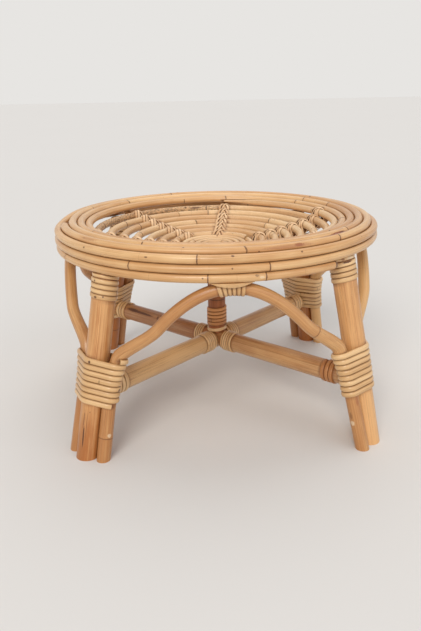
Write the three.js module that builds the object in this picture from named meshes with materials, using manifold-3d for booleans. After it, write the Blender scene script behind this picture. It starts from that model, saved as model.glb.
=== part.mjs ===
// Mudda stool: a round seat of coiled cane with a dished middle, on four legs lashed to arches and crossed stretchers.
// Lengths are in millimetres. The origin is on the floor under the middle of the seat, +Z is up and the front is -Y.
// Azimuths are in degrees, counterclockwise from +X seen from above.
import * as THREE from "three";
import { mergeVertices } from "three/addons/utils/BufferGeometryUtils.js";
import Module from "manifold-3d";

const wasm = await Module();
wasm.setup();

// Clearances
const seatGap = 0.3;
const turnGap = 0.45;

// Rim: one cane lies in levels one over the other, and the crest carries on from them
const rimCaneDiameter = 9.4;
const rimBottomRadius = 194.2;
const rimBottomHeight = 211.5;
const levelTurnDegrees = [84, 92, 144, 172, 187, 199.5, 200];
const outerStartAzimuth = 274;
const outerEndAzimuth = 305;
const outerTurns = 3;
const levelDrops = [
  { from: 162, to: 187 },
  { from: 150, to: 176 },
  { from: 140, to: 165 },
];
const fillerStartAzimuth = 190;
const scarfDegrees = 25;
const crestSeams = { outer_crest_hoop: 108, middle_crest_hoop: 134.5, inner_crest_hoop: 80 };

// Dish: three canes, joined end to end, wind inward below the crest, and a thinner one closes the middle.
// Where each of the three ends is in degrees turned from the first one's start.
const dishDrop = 7;
const dishDepth = 22.5;
const dishStartAzimuth = 80;
const dishEnds = { outer_dish_cane: 689, middle_dish_cane: 1417, inner_dish_cane: 2579 };
const dishEndRadius = 45.4;
const dishTaperDegrees = 25;
const dishLevelDegrees = 120;
const dishFallDegrees = 140;
const dishTaperShare = 0.34;
const coilCaneDiameter = 7.4;
const coilInnerRadius = 4.2;

// Ribs under the dish
const ribDiameter = 8;
const ribAzimuths = [16.5, 80, 134.5, 189, 251, 313.5];
const ribHubGap = 0.7;
const ribEndSlope = 45;

// Legs: a pole with the ends of two arch canes beside it
const legDiameter = 26.6;
const legInset = 12.4;
const legLeanShare = 0.2218;
const archCaneDiameter = 15.6;
const archCrownDiameter = 13.6;
const archTaperHeights = { from: 117, to: 150 };
const bundleGap = 0.5;
const archBaseHeight = 63;
const archRiseGap = 2;
const archInset = 11;
const archBendShare = 0.58;
const archLeaveShare = 0.75;
const archHandleShare = 0.25;
const archSpread = 7;
const legs = [
  { name: "front_left", azimuth: 225, top: 0, hand: -1, turns: [{ foot: -4, top: -14 }, { foot: 12, top: 11 }] },
  { name: "front_right", azimuth: 315, top: 1, hand: 1, turns: [{ foot: 11, top: -7 }, { foot: 28, top: 28 }] },
  { name: "back_right", azimuth: 45, top: 1, hand: -1, turns: [{ foot: 0, top: 0 }, { foot: 0, top: 0 }] },
  { name: "back_left", azimuth: 135, top: 1, hand: 1, turns: [{ foot: 0, top: 0 }, { foot: 0, top: 0 }] },
];
const arches = [
  { name: "front", from: 0, to: 1, azimuth: 270, level: 0 },
  { name: "right", from: 1, to: 2, azimuth: 0, level: 1 },
  { name: "back", from: 2, to: 3, azimuth: 90, level: 1 },
  { name: "left", from: 3, to: 0, azimuth: 180, level: 0 },
];

// Stretchers and post
const stretcherDiameter = 24;
const stretcherHeight = 72.6;
const postDiameter = 23;

// Bindings
const lashingWidth = 5.9;
const lashingThickness = 2.8;
const lashingPitch = 6.45;
const lashingTurns = 8;
const lashingStart = 61.5;
const stripWidth = 5.1;
const stripThickness = 1.5;
const stripPitch = 5.6;
const legTopTurns = 4;
const stretcherEndTurns = 3;
const crossingTurns = 2.5;
const postWrapTurns = 4.5;
const postWrapRise = 7.9;
const apexTurns = 4;
const apexPitch = 6.8;

// Packing pieces between the arches and the rim
const saddleLength = 46;
const saddleWidth = 8.6;
const saddleDepth = 5;
const saddleSectionShares = [[-0.12, -0.82], [0.2, -1], [0.45, 0], [-0.55, 0]];

// Facets
const rimStep = 10;
const dishStep = 14;
const coilStep = 22.5;
const poleSides = 16;
const caneSides = 8;
const dishSides = 6;
const finestSides = 5;
const stripSteps = 8;

const rimRadius = rimCaneDiameter / 2;
const coilRadius = coilCaneDiameter / 2;
const ribRadius = ribDiameter / 2;
const legRadius = legDiameter / 2;
const archRadius = archCaneDiameter / 2;
const archCrownRadius = archCrownDiameter / 2;
const stretcherRadius = stretcherDiameter / 2;
const postRadius = postDiameter / 2;
const rimPitch = rimCaneDiameter + turnGap;
const upward = new THREE.Vector3(0, 0, 1);
const radians = THREE.MathUtils.degToRad;

const paleCane = () => new THREE.MeshStandardMaterial({ color: 0xd9ab6c, roughness: 0.42, metalness: 0 });
const tanCane = () => new THREE.MeshStandardMaterial({ color: 0xc98f50, roughness: 0.45, metalness: 0 });
const darkPole = () => new THREE.MeshStandardMaterial({ color: 0x9c6a3c, roughness: 0.55, metalness: 0 });
const bindingSkin = () => new THREE.MeshStandardMaterial({ color: 0xd6b27c, roughness: 0.4, metalness: 0 });

const stool = new THREE.Group();
stool.name = "mudda_stool";

function addPiece(name, geometry, material) {
  const piece = new THREE.Mesh(geometry, material);
  piece.name = name;
  geometry.computeVertexNormals();
  stool.add(piece);
  return piece;
}

// Directions and places

function outwardAt(azimuth) {
  return new THREE.Vector3(Math.cos(radians(azimuth)), Math.sin(radians(azimuth)), 0);
}

function placeAt(azimuth, radius, height) {
  return outwardAt(azimuth).multiplyScalar(radius).setZ(height);
}

// A ring is drawn with straight stretches between whole steps. The share of its radius that it has at an azimuth.
function chordShare(azimuth, step) {
  const middle = (Math.floor(azimuth / step) + 0.5) * step;
  return Math.cos(radians(step / 2)) / Math.cos(radians(azimuth - middle));
}

// The azimuths from one end to the other: both ends, and each whole multiple of the step between them.
function azimuthsBetween(from, to, step) {
  const low = Math.min(from, to);
  const high = Math.max(from, to);
  const azimuths = [low];
  for (let next = (Math.floor(low / step) + 1) * step; next < high; next += step) azimuths.push(next);
  azimuths.push(high);
  return from < to ? azimuths : azimuths.reverse();
}

// Swept canes

function roundSection(radius, sides, firstDegrees = 90) {
  return Array.from({ length: sides }, (_, side) => {
    const angle = radians(firstDegrees + (360 * side) / sides);
    return new THREE.Vector2(radius * Math.cos(angle), radius * Math.sin(angle));
  });
}

// A strip's section lies flat on what it binds: its width across, its thickness outward.
function stripSection() {
  return [
    new THREE.Vector2(-stripWidth / 2, 0),
    new THREE.Vector2(stripWidth / 2, 0),
    new THREE.Vector2(stripWidth / 2, stripThickness),
    new THREE.Vector2(-stripWidth / 2, stripThickness),
  ];
}

// Stations along a path: the path's direction at each point, and the two axes of the section there.
function stationsAlong(points, referenceAt) {
  return points.map((point, index) => {
    const before = points[Math.max(index - 1, 0)];
    const after = points[Math.min(index + 1, points.length - 1)];
    const along = after.clone().sub(before).normalize();
    const reference = referenceAt(index);
    const up = reference.clone().addScaledVector(along, -reference.dot(along)).normalize();
    return { point, along, up, across: up.clone().cross(along), scale: 1 };
  });
}

// A closed solid of one section swept through its stations. Its end faces lie on the planes that are given.
function sweptSolid(stations, section, { startPlane, endPlane } = {}) {
  const rings = stations.map(({ point, up, across, scale }) =>
    section.map((corner) =>
      point.clone().addScaledVector(across, corner.x * scale).addScaledVector(up, corner.y * scale),
    ),
  );
  const slideTo = (plane, ring, along) => {
    const slope = plane.normal.dot(along);
    for (const corner of ring) corner.addScaledVector(along, -plane.distanceToPoint(corner) / slope);
  };
  if (startPlane) slideTo(startPlane, rings[0], stations[0].along);
  if (endPlane) slideTo(endPlane, rings.at(-1), stations.at(-1).along);
  const sides = section.length;
  const index = [];
  for (let ring = 0; ring + 1 < rings.length; ring++) {
    for (let side = 0; side < sides; side++) {
      const here = ring * sides + side;
      const beside = ring * sides + ((side + 1) % sides);
      index.push(here, beside, beside + sides, here, beside + sides, here + sides);
    }
  }
  const last = (rings.length - 1) * sides;
  for (let side = 1; side + 1 < sides; side++) {
    index.push(0, side + 1, side);
    index.push(last, last + side, last + side + 1);
  }
  const positions = rings.flat().flatMap((corner) => corner.toArray());
  const geometry = new THREE.BufferGeometry();
  geometry.setAttribute("position", new THREE.Float32BufferAttribute(positions, 3));
  geometry.setIndex(index);
  return geometry;
}

// A free end is rounded off by two smaller rings beyond it.
const roundingDegrees = [40, 72];

function withRoundEnd(stations, radius) {
  const end = stations.at(-1);
  const extra = roundingDegrees.map((turn) => ({
    ...end,
    point: end.point.clone().addScaledVector(end.along, radius * end.scale * Math.sin(radians(turn))),
    scale: end.scale * Math.cos(radians(turn)),
  }));
  return [...stations, ...extra];
}

function withRoundStart(stations, radius) {
  const start = stations[0];
  const extra = roundingDegrees.map((turn) => ({
    ...start,
    point: start.point.clone().addScaledVector(start.along, -radius * start.scale * Math.sin(radians(turn))),
    scale: start.scale * Math.cos(radians(turn)),
  }));
  return [...extra.reverse(), ...stations];
}

// Joins and cuts

function solidFrom(geometry) {
  const bare = new THREE.BufferGeometry();
  bare.setAttribute("position", geometry.getAttribute("position"));
  bare.setIndex(geometry.getIndex());
  const merged = mergeVertices(bare);
  const vertProperties = new Float32Array(merged.getAttribute("position").array);
  const triVerts = new Uint32Array(merged.getIndex().array);
  return new wasm.Manifold(new wasm.Mesh({ numProp: 3, vertProperties, triVerts }));
}

function geometryFrom(solid) {
  const { vertProperties, triVerts } = solid.getMesh();
  const geometry = new THREE.BufferGeometry();
  geometry.setAttribute("position", new THREE.BufferAttribute(new Float32Array(vertProperties), 3));
  geometry.setIndex(new THREE.BufferAttribute(new Uint32Array(triVerts), 1));
  return geometry;
}

// Windings

// The least gap between the turns of a winding: from the points of its middle line to its stretches that are a
// half turn or more further on, less the thickness of what is wound.
function reportTurnGap(name, points, pointsPerTurn, thickness) {
  const nearest = new THREE.Vector3();
  let least = Infinity;
  for (let first = 0; first < points.length; first++) {
    for (let second = first + Math.ceil(pointsPerTurn / 2); second + 1 < points.length; second++) {
      new THREE.Line3(points[second], points[second + 1]).closestPointToPoint(points[first], true, nearest);
      least = Math.min(least, points[first].distanceTo(nearest));
    }
  }
  console.log(name + ": least gap between its turns " + (least - thickness).toFixed(2) + " mm");
}

// A flat strip wound round a pole. The pole's middle line is given as a point and a direction for each distance.
function wrapPole(name, { pole, reference, radius, start, turns, hand = 1, pitch = stripPitch }) {
  const steps = Math.round(turns * stripSteps);
  const points = [];
  const outward = [];
  const inside = (radius + seatGap / 2) / Math.cos(Math.PI / stripSteps);
  for (let step = 0; step <= steps; step++) {
    const angle = (hand * step * 2 * Math.PI) / stripSteps;
    const { point, direction } = pole(start + (pitch * step) / stripSteps);
    const ahead = reference.clone().addScaledVector(direction, -reference.dot(direction)).normalize();
    const aside = direction.clone().cross(ahead);
    const out = ahead.multiplyScalar(Math.cos(angle)).addScaledVector(aside, Math.sin(angle));
    outward.push(out);
    points.push(point.clone().addScaledVector(out, inside));
  }
  reportTurnGap(name, points, stripSteps, stripWidth);
  const stations = stationsAlong(points, (index) => outward[index]);
  addPiece(name, sweptSolid(stations, stripSection()), bindingSkin());
}

// Rim

// The middle points of the cane levels, lowest first, as radius and height.
const rimLevels = [new THREE.Vector2(rimBottomRadius, rimBottomHeight)];
for (const turn of levelTurnDegrees) {
  const step = new THREE.Vector2(Math.cos(radians(turn)), Math.sin(radians(turn)));
  rimLevels.push(rimLevels.at(-1).clone().addScaledVector(step, rimPitch));
}
const [, , , , , crestMiddle, crestInner, dishEdge] = rimLevels;

function levelPlace(level) {
  const below = Math.floor(level);
  const above = Math.min(below + 1, rimLevels.length - 1);
  return rimLevels[below].clone().lerp(rimLevels[above], level - below);
}

function rimStations(azimuths, levelAt) {
  const points = azimuths.map((azimuth) => {
    const place = levelPlace(levelAt(azimuth));
    return placeAt(azimuth, place.x * chordShare(azimuth, rimStep), place.y);
  });
  return stationsAlong(points, () => upward);
}

// The slanted plane of a scarf joint at a point of a ring, moved half the gap to one side.
function scarfPlane(point, azimuth, side) {
  const normal = outwardAt(azimuth + 90 + scarfDegrees);
  const onPlane = point.clone().addScaledVector(normal, (side * turnGap) / 2);
  return new THREE.Plane().setFromNormalAndCoplanarPoint(normal, onPlane);
}

function rimScarf(level, azimuth, side) {
  const place = rimLevels[level];
  return scarfPlane(placeAt(azimuth, place.x, place.y), azimuth, side);
}

// The rim cane starts on the fourth level and goes down one level in each of its turns.
function outerLevel(azimuth) {
  const drops = levelDrops.map(({ from, to }, turn) =>
    THREE.MathUtils.smoothstep(azimuth - 360 * (turn + 1), from, to),
  );
  return levelDrops.length - drops.reduce((sum, drop) => sum + drop, 0);
}

function addOuterRim() {
  const end = outerEndAzimuth + 360 * outerTurns;
  const azimuths = azimuthsBetween(outerStartAzimuth, end, rimStep);
  const stations = rimStations(azimuths, outerLevel);
  reportTurnGap("outer_rim_cane", stations.map(({ point }) => point), 360 / rimStep, rimCaneDiameter);
  const rounded = withRoundEnd(stations, rimRadius);
  const section = roundSection(rimRadius, caneSides);
  const startPlane = rimScarf(levelDrops.length, outerStartAzimuth, 1);
  addPiece("outer_rim_cane", sweptSolid(rounded, section, { startPlane }), paleCane());
}

function addRimFiller() {
  const azimuths = azimuthsBetween(fillerStartAzimuth, outerStartAzimuth, rimStep);
  const stations = rimStations(azimuths, () => levelDrops.length);
  const rounded = withRoundStart(stations, rimRadius);
  const endPlane = rimScarf(levelDrops.length, outerStartAzimuth, -1);
  addPiece("rim_filler_cane", sweptSolid(rounded, roundSection(rimRadius, caneSides), { endPlane }), paleCane());
}

function addCrestHoops() {
  Object.entries(crestSeams).forEach(([name, seam], index) => {
    const level = levelDrops.length + 1 + index;
    const stations = rimStations(azimuthsBetween(seam, seam + 360, rimStep), () => level);
    const planes = { startPlane: rimScarf(level, seam, 1), endPlane: rimScarf(level, seam, -1) };
    addPiece(name, sweptSolid(stations, roundSection(rimRadius, caneSides), planes), paleCane());
  });
}

// Dish

const dishRadius = dishEdge.x;
const dishSettled = dishLevelDegrees + dishFallDegrees;
const dishPitch = (dishRadius - dishEndRadius) / ((dishEnds.inner_dish_cane - dishSettled) / 360);

// The height of the middle of a dish cane at a radius.
function dishHeight(radius) {
  return dishEdge.y - dishDrop - dishDepth * (1 - (radius / dishRadius) ** 2);
}

// The first end is whittled to a long point that lies against the crest.
function dishTaper(turned) {
  return THREE.MathUtils.lerp(dishTaperShare, 1, THREE.MathUtils.smoothstep(turned, 0, dishTaperDegrees));
}

function dishPoint(turned) {
  const radius = dishRadius - (dishPitch * Math.max(turned - dishSettled, 0)) / 360;
  const fall = THREE.MathUtils.smoothstep(turned, dishLevelDegrees, dishSettled);
  const height = THREE.MathUtils.lerp(dishEdge.y, dishHeight(radius), fall);
  const toCrest = crestInner.clone().sub(dishEdge).normalize();
  const lean = rimRadius * (1 - dishTaper(turned));
  return placeAt(dishStartAzimuth - turned, radius + toCrest.x * lean, height + toCrest.y * lean);
}

function dishScarf(turned, side) {
  return scarfPlane(dishPoint(turned), dishStartAzimuth - turned, side);
}

function addDishCanes() {
  let from = 0;
  for (const [name, to] of Object.entries(dishEnds)) {
    const azimuths = azimuthsBetween(dishStartAzimuth - from, dishStartAzimuth - to, dishStep);
    const turned = azimuths.map((azimuth) => dishStartAzimuth - azimuth);
    const stations = stationsAlong(turned.map(dishPoint), () => upward);
    stations.forEach((station, index) => (station.scale = dishTaper(turned[index])));
    reportTurnGap(name, stations.map(({ point }) => point), 360 / dishStep, rimCaneDiameter);
    const planes = { startPlane: from > 0 && dishScarf(from, -1), endPlane: dishScarf(to, 1) };
    addPiece(name, sweptSolid(stations, roundSection(rimRadius, dishSides), planes), paleCane());
    from = to;
  }
}

// The coil carries on from the last dish cane, first with room for that cane beside it.
const coilPitch = coilCaneDiameter + turnGap;
const coilFirstPitch = coilRadius + rimRadius + turnGap;

function coilPoint(turned) {
  const turns = turned / 360;
  const radius = dishEndRadius - coilFirstPitch * Math.min(turns, 1) - coilPitch * Math.max(turns - 1, 0);
  const azimuth = dishStartAzimuth - dishEnds.inner_dish_cane - turned;
  return placeAt(azimuth, radius, dishHeight(radius) - rimRadius + coilRadius);
}

function addCentreCoil() {
  const start = dishStartAzimuth - dishEnds.inner_dish_cane;
  const turns = 1 + (dishEndRadius - coilFirstPitch - coilInnerRadius) / coilPitch;
  const azimuths = azimuthsBetween(start, start - 360 * turns, coilStep);
  const points = azimuths.map((azimuth) => coilPoint(start - azimuth));
  reportTurnGap("centre_coil", points, 360 / coilStep, coilCaneDiameter);
  const startPlane = scarfPlane(coilPoint(0), start, -1);
  const section = roundSection(coilRadius, finestSides, -90);
  const stations = stationsAlong(points, () => upward);
  addPiece("centre_coil", sweptSolid(stations, section, { startPlane }), paleCane());
}

// Ribs

// The point of a rib's middle line that lies square under the dish cane at a radius, as radius and height.
function ribPlace(radius) {
  const slope = (2 * dishDepth * radius) / dishRadius ** 2;
  const normal = new THREE.Vector2(slope, -1).normalize();
  return new THREE.Vector2(radius, dishHeight(radius)).addScaledVector(normal, rimRadius + ribRadius + seatGap);
}

const ribAngles = ribAzimuths.map((azimuth, index) => {
  const next = ribAzimuths[(index + 1) % ribAzimuths.length];
  return (next - azimuth + 360) % 360;
});
const ribHubRadius = (ribDiameter + ribHubGap) / 2 / Math.sin(radians(Math.min(...ribAngles)) / 2);
const ribRunShares = [0, 0.25, 0.5, 0.75];
const ribBendSteps = 5;

function ribPlaces() {
  const run = ribRunShares.map((share) => ribPlace(THREE.MathUtils.lerp(ribHubRadius, dishRadius, share)));
  const bendStart = ribPlace(dishRadius);
  const startSlope = (2 * dishDepth) / dishRadius;
  const startDirection = new THREE.Vector2(1, startSlope).normalize();
  const endDirection = new THREE.Vector2(Math.cos(radians(ribEndSlope)), Math.sin(radians(ribEndSlope)));
  const below = new THREE.Vector2(endDirection.y, -endDirection.x);
  const bendEnd = crestMiddle.clone().addScaledVector(below, rimRadius + ribRadius + seatGap);
  const handle = bendEnd.distanceTo(bendStart) / 3;
  const bend = new THREE.CubicBezierCurve(
    bendStart,
    bendStart.clone().addScaledVector(startDirection, handle),
    bendEnd.clone().addScaledVector(endDirection, -handle),
    bendEnd,
  );
  return [...run, ...bend.getPoints(ribBendSteps)];
}

function addRibs() {
  const places = ribPlaces();
  ribAzimuths.forEach((azimuth, index) => {
    const points = places.map((place) => placeAt(azimuth, place.x, place.y));
    const stations = stationsAlong(points, () => upward);
    const section = roundSection(ribRadius, dishSides);
    addPiece("seat_rib_" + (index + 1), sweptSolid(stations, section), tanCane());
  });
}

// Legs

const legLean = Math.atan(legLeanShare);

// A leg's frame: its foot, its axis, the direction round the stool and the direction inward, square to the axis.
function legFrame(leg) {
  const outward = outwardAt(leg.azimuth);
  const axis = upward.clone().multiplyScalar(Math.cos(legLean)).addScaledVector(outward, -Math.sin(legLean));
  const round = outwardAt(leg.azimuth + 90);
  const inward = axis.clone().cross(round).normalize();
  const footRadius = rimBottomRadius - legInset + legLeanShare * rimBottomHeight;
  return { foot: outward.clone().multiplyScalar(footRadius), outward, axis, round, inward };
}

// A point beside the leg's axis: its place round the stool and inward, and its distance along the axis.
function besideLeg({ foot, axis, round, inward }, place, rise) {
  return foot
    .clone()
    .addScaledVector(round, place.x)
    .addScaledVector(inward, place.y)
    .addScaledVector(axis, rise);
}

const bundleDistance = legRadius + archRadius + bundleGap;
const lashingTop = lashingStart + lashingPitch * (lashingTurns + 1) + lashingWidth / 2;

function lashedShare(rise) {
  return Math.max(rise - lashingStart, 0) / (lashingTop - lashingStart);
}

// The two arch canes stand on either side of the pole: the first clockwise of it round the stool. They may be
// turned about the pole a little, and start to bend away from it inside the lashing.
function canePlace(leg, side, rise) {
  const { foot, top } = leg.turns[side];
  const turn = THREE.MathUtils.lerp(foot, top, rise / lashingTop);
  const angle = radians(side === 0 ? 180 + turn : turn);
  const distance = bundleDistance + archSpread * lashedShare(rise) ** 3;
  return new THREE.Vector2(Math.cos(angle), Math.sin(angle)).multiplyScalar(distance);
}

const floorPlane = new THREE.Plane(upward.clone(), 0);

function legTopHeight(leg) {
  return rimLevels[leg.top].y - rimRadius - seatGap;
}

function addLegPoles() {
  for (const leg of legs) {
    const { foot, axis } = legFrame(leg);
    const top = legTopHeight(leg);
    const head = foot.clone().addScaledVector(axis, top / axis.z);
    const stations = stationsAlong([foot, head], () => upward.clone().cross(axis));
    const endPlane = new THREE.Plane(upward.clone(), -top);
    const section = roundSection(legRadius, poleSides);
    const geometry = sweptSolid(stations, section, { startPlane: floorPlane, endPlane });
    addPiece(leg.name + "_leg_pole", geometry, tanCane());
  }
}

// Arches

const archStep = 0.09;
const archBendSteps = 3;
const archLashedShares = [0, 0.3, 0.5, 0.67, 0.82, 0.92, 1];

// The crown of an arch between its two bases, at a share of the half span from -1 to 1.
function crownPoint(arch, share) {
  const [first, second] = [arch.from, arch.to].map((number, side) => {
    const leg = legs[number];
    return besideLeg(legFrame(leg), canePlace(leg, 1 - side, lashingStart), archBaseHeight / Math.cos(legLean));
  });
  const rise = 1 - share ** 2;
  const outward = outwardAt(arch.azimuth);
  const point = first.clone().lerp(second, (1 + share) / 2);
  const bow = rimBottomRadius - archInset - (first.dot(outward) + second.dot(outward)) / 2;
  const top = rimLevels[arch.level].y - rimRadius - archCrownRadius - archRiseGap;
  point.addScaledVector(outward, bow * rise);
  return point.setZ(THREE.MathUtils.lerp(point.z, top, rise));
}

// The stretch of an arch from its foot, up through the lashing, to the crown.
function archSide(arch, side) {
  const leg = legs[side < 0 ? arch.from : arch.to];
  const frame = legFrame(leg);
  const caneAt = (rise) => besideLeg(frame, canePlace(leg, side < 0 ? 1 : 0, rise), rise);
  const lashed = archLashedShares.map((share) => caneAt(THREE.MathUtils.lerp(lashingStart, lashingTop, share)));
  const foot = caneAt(0);
  const upright = lashed[0].clone().sub(foot).normalize();
  foot.addScaledVector(upright, -foot.z / upright.z);
  const leaving = lashed.at(-1);
  const crown = crownPoint(arch, side * archBendShare);
  const toCrown = crown.clone().sub(leaving).normalize();
  const leavingWay = leaving.clone().sub(lashed.at(-2)).normalize().lerp(toCrown, archLeaveShare).normalize();
  const crownWay = crown.clone().sub(crownPoint(arch, side * (archBendShare - archStep))).normalize();
  const reach = crown.distanceTo(leaving) * archHandleShare;
  const bend = new THREE.CubicBezierCurve3(
    leaving,
    leaving.clone().addScaledVector(leavingWay, reach),
    crown.clone().addScaledVector(crownWay, reach),
    crown,
  );
  return [foot, ...lashed.slice(0, -1), ...bend.getPoints(archBendSteps)];
}

function archPoints(arch) {
  const crown = [];
  for (let share = archStep - archBendShare; share < archBendShare - archStep / 2; share += archStep) {
    crown.push(crownPoint(arch, share));
  }
  return [...archSide(arch, -1), ...crown, ...archSide(arch, 1).reverse()];
}

// An arch cane is thinner where it is bent than where it stands beside the leg.
function archTaper(height) {
  const share = THREE.MathUtils.smoothstep(height, archTaperHeights.from, archTaperHeights.to);
  return THREE.MathUtils.lerp(1, archCrownDiameter / archCaneDiameter, share);
}

function addArches() {
  for (const arch of arches) {
    const outward = outwardAt(arch.azimuth);
    const stations = stationsAlong(archPoints(arch), () => outward);
    for (const station of stations) station.scale = archTaper(station.point.z);
    const planes = { startPlane: floorPlane, endPlane: floorPlane };
    addPiece(arch.name + "_arch_cane", sweptSolid(stations, roundSection(archRadius, caneSides), planes), tanCane());
  }
}

// Saddles: split pieces that pack the angle between the top of each arch and the rim

const saddleSteps = 6;
const saddleEndShare = 0.12;

function addSaddles() {
  for (const arch of arches) {
    const place = rimLevels[arch.level];
    const radius = place.x;
    const height = place.y - rimRadius - seatGap;
    const halfAngle = THREE.MathUtils.radToDeg(saddleLength / 2 / radius);
    const points = [];
    const scales = [];
    for (let step = 0; step <= saddleSteps; step++) {
      const share = (2 * step) / saddleSteps - 1;
      points.push(placeAt(arch.azimuth + share * halfAngle, radius, height));
      scales.push(Math.max(1 - share ** 2, saddleEndShare));
    }
    const stations = stationsAlong(points, () => upward);
    stations.forEach((station, index) => (station.scale = scales[index]));
    const section = saddleSectionShares.map(
      ([out, rise]) => new THREE.Vector2(-out * saddleWidth, rise * saddleDepth),
    );
    addPiece(arch.name + "_arch_saddle", sweptSolid(stations, section.reverse()), paleCane());
  }
}

// Leg lashings: a flattened cane wound round the pole and the two arch canes beside it

const leastArc = radians(1);
const mostArc = radians(300);

// The loop of a cord drawn tight round circles that are given in order, counterclockwise. Each stretch round a
// circle has the number of steps that the circle is given. On a circle that it hardly touches it has the least arc.
function tightLoop(circles) {
  const contact = (one, other) => {
    const reach = other.middle.clone().sub(one.middle);
    return reach.angle() - Math.acos((one.radius - other.radius) / reach.length());
  };
  return circles.flatMap((circle, index) => {
    const before = circles[(index + circles.length - 1) % circles.length];
    const after = circles[(index + 1) % circles.length];
    const from = contact(before, circle);
    const arc = THREE.MathUtils.euclideanModulo(contact(circle, after) - from, 2 * Math.PI);
    const turn = arc < mostArc ? Math.max(arc, leastArc) : leastArc;
    const radius = circle.radius / Math.cos(turn / circle.steps / 2);
    return Array.from({ length: circle.steps + 1 }, (_, step) => {
      const angle = from + (turn * step) / circle.steps;
      return circle.middle.clone().add(new THREE.Vector2(Math.cos(angle), Math.sin(angle)).multiplyScalar(radius));
    });
  });
}

const lashingPoleSteps = 2;
const lashingCaneSteps = 4;
const lashingStartPoint = 3;

// Where a cane leans away from the leg it is wider across the loop, and it pushes the loop's upper edge out.
function lashingLoop(leg, rise) {
  const clear = seatGap + lashingThickness / 2;
  const upperEdge = rise + lashingWidth / 2;
  const slope = (3 * archSpread * lashedShare(upperEdge) ** 2) / (lashingTop - lashingStart);
  const caneAt = (side) => {
    const middle = canePlace(leg, side, upperEdge);
    return { middle, radius: archRadius * Math.hypot(1, slope) + clear, steps: lashingCaneSteps };
  };
  const pole = { middle: new THREE.Vector2(), radius: legRadius + clear };
  const inside = { ...pole, steps: lashingPoleSteps };
  const outside = { ...pole, steps: 1 };
  return tightLoop([outside, caneAt(1), inside, caneAt(0)]);
}

// How far inward of the leg's axis the lashing reaches across the width of a stretcher's end.
function lashingReach(leg) {
  const loop = lashingLoop(leg, stretcherHeight / Math.cos(legLean));
  const depthAt = (x) =>
    Math.max(
      ...loop.map((point, index) => {
        const next = loop[(index + 1) % loop.length];
        const share = (x - point.x) / (next.x - point.x);
        return share >= 0 && share <= 1 ? THREE.MathUtils.lerp(point.y, next.y, share) : 0;
      }),
    );
  return Math.max(...[-stretcherRadius, 0, stretcherRadius].map(depthAt)) + lashingThickness / 2;
}

// Stretchers and post

const stretcherArms = [
  { name: "front_left_to_back_right", from: 0, to: 2, keepsLowerHalf: true },
  { name: "front_right_to_back_left", from: 1, to: 3, keepsLowerHalf: false },
];

function legAxisPoint(leg, height) {
  const { foot, axis } = legFrame(leg);
  return foot.clone().addScaledVector(axis, height / axis.z);
}

function poleSolid(start, end, radius) {
  const direction = end.clone().sub(start);
  const stations = stationsAlong([start, end], () => (Math.abs(direction.z) > 0 ? outwardAt(0) : upward));
  return solidFrom(sweptSolid(stations, roundSection(radius, poleSides)));
}

// A stretcher's end is cut along the leg and rests against the lashing.
function stretcherEndPlane(leg) {
  const { foot, inward } = legFrame(leg);
  const point = foot.clone().addScaledVector(inward, lashingReach(leg) + seatGap);
  return new THREE.Plane().setFromNormalAndCoplanarPoint(inward, point);
}

function addStretchers() {
  for (const arm of stretcherArms) {
    const ends = [legs[arm.from], legs[arm.to]];
    const stations = stationsAlong(ends.map((leg) => legAxisPoint(leg, stretcherHeight)), () => upward);
    const [startPlane, endPlane] = ends.map(stretcherEndPlane);
    const section = roundSection(stretcherRadius, poleSides);
    let solid = solidFrom(sweptSolid(stations, section, { startPlane, endPlane }));
    const notchWidth = stretcherDiameter + 2 * seatGap;
    const notchHeight = stretcherDiameter;
    const notch = new THREE.BoxGeometry(notchWidth, notchWidth, notchHeight);
    notch.rotateZ(radians(ends[0].azimuth));
    const side = arm.keepsLowerHalf ? 1 : -1;
    notch.translate(0, 0, stretcherHeight + side * (notchHeight / 2 - seatGap / 2));
    solid = solid.subtract(solidFrom(notch));
    addPiece(arm.name + "_stretcher", geometryFrom(solid), tanCane());
  }
}

function addCentrePost() {
  const hub = ribPlace(ribHubRadius);
  const top = hub.y - ribRadius - seatGap;
  const bottom = stretcherHeight + stretcherRadius / 2;
  let solid = poleSolid(upward.clone().multiplyScalar(bottom), upward.clone().multiplyScalar(top), postRadius);
  for (const arm of stretcherArms) {
    const ends = [legs[arm.from], legs[arm.to]].map((leg) => legAxisPoint(leg, stretcherHeight));
    solid = solid.subtract(poleSolid(...ends, stretcherRadius + seatGap));
  }
  addPiece("centre_post", geometryFrom(solid), darkPole());
}

function addLegLashing(leg) {
  const frame = legFrame(leg);
  const loop = lashingLoop(leg, lashingStart);
  const count = loop.length;
  const lengths = loop.map((point, index) => point.distanceTo(loop[(index + 1) % count]));
  const sumTo = (index) => lengths.slice(0, index).reduce((sum, length) => sum + length, 0);
  const loopLength = sumTo(count);
  const points = [];
  for (let step = lashingStartPoint; step <= lashingStartPoint + count * lashingTurns; step++) {
    const wound = Math.floor(step / count) + sumTo(step % count) / loopLength;
    const climbed = leg.hand > 0 ? wound : lashingTurns + 1 - wound;
    const rise = lashingStart + lashingPitch * climbed;
    points.push(besideLeg(frame, lashingLoop(leg, rise)[step % count], rise));
  }
  const name = leg.name + "_leg_lashing";
  reportTurnGap(name, points, count, lashingWidth);
  const stations = stationsAlong(points, () => frame.axis);
  const flattened = new THREE.Vector2(lashingThickness / 2, lashingWidth / 2);
  const section = roundSection(1, finestSides).map((corner) => corner.multiply(flattened));
  addPiece(name, sweptSolid(stations, section), bindingSkin());
}

// Strip windings

function straightPole(start, direction) {
  return (distance) => ({ point: start.clone().addScaledVector(direction, distance), direction });
}

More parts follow.
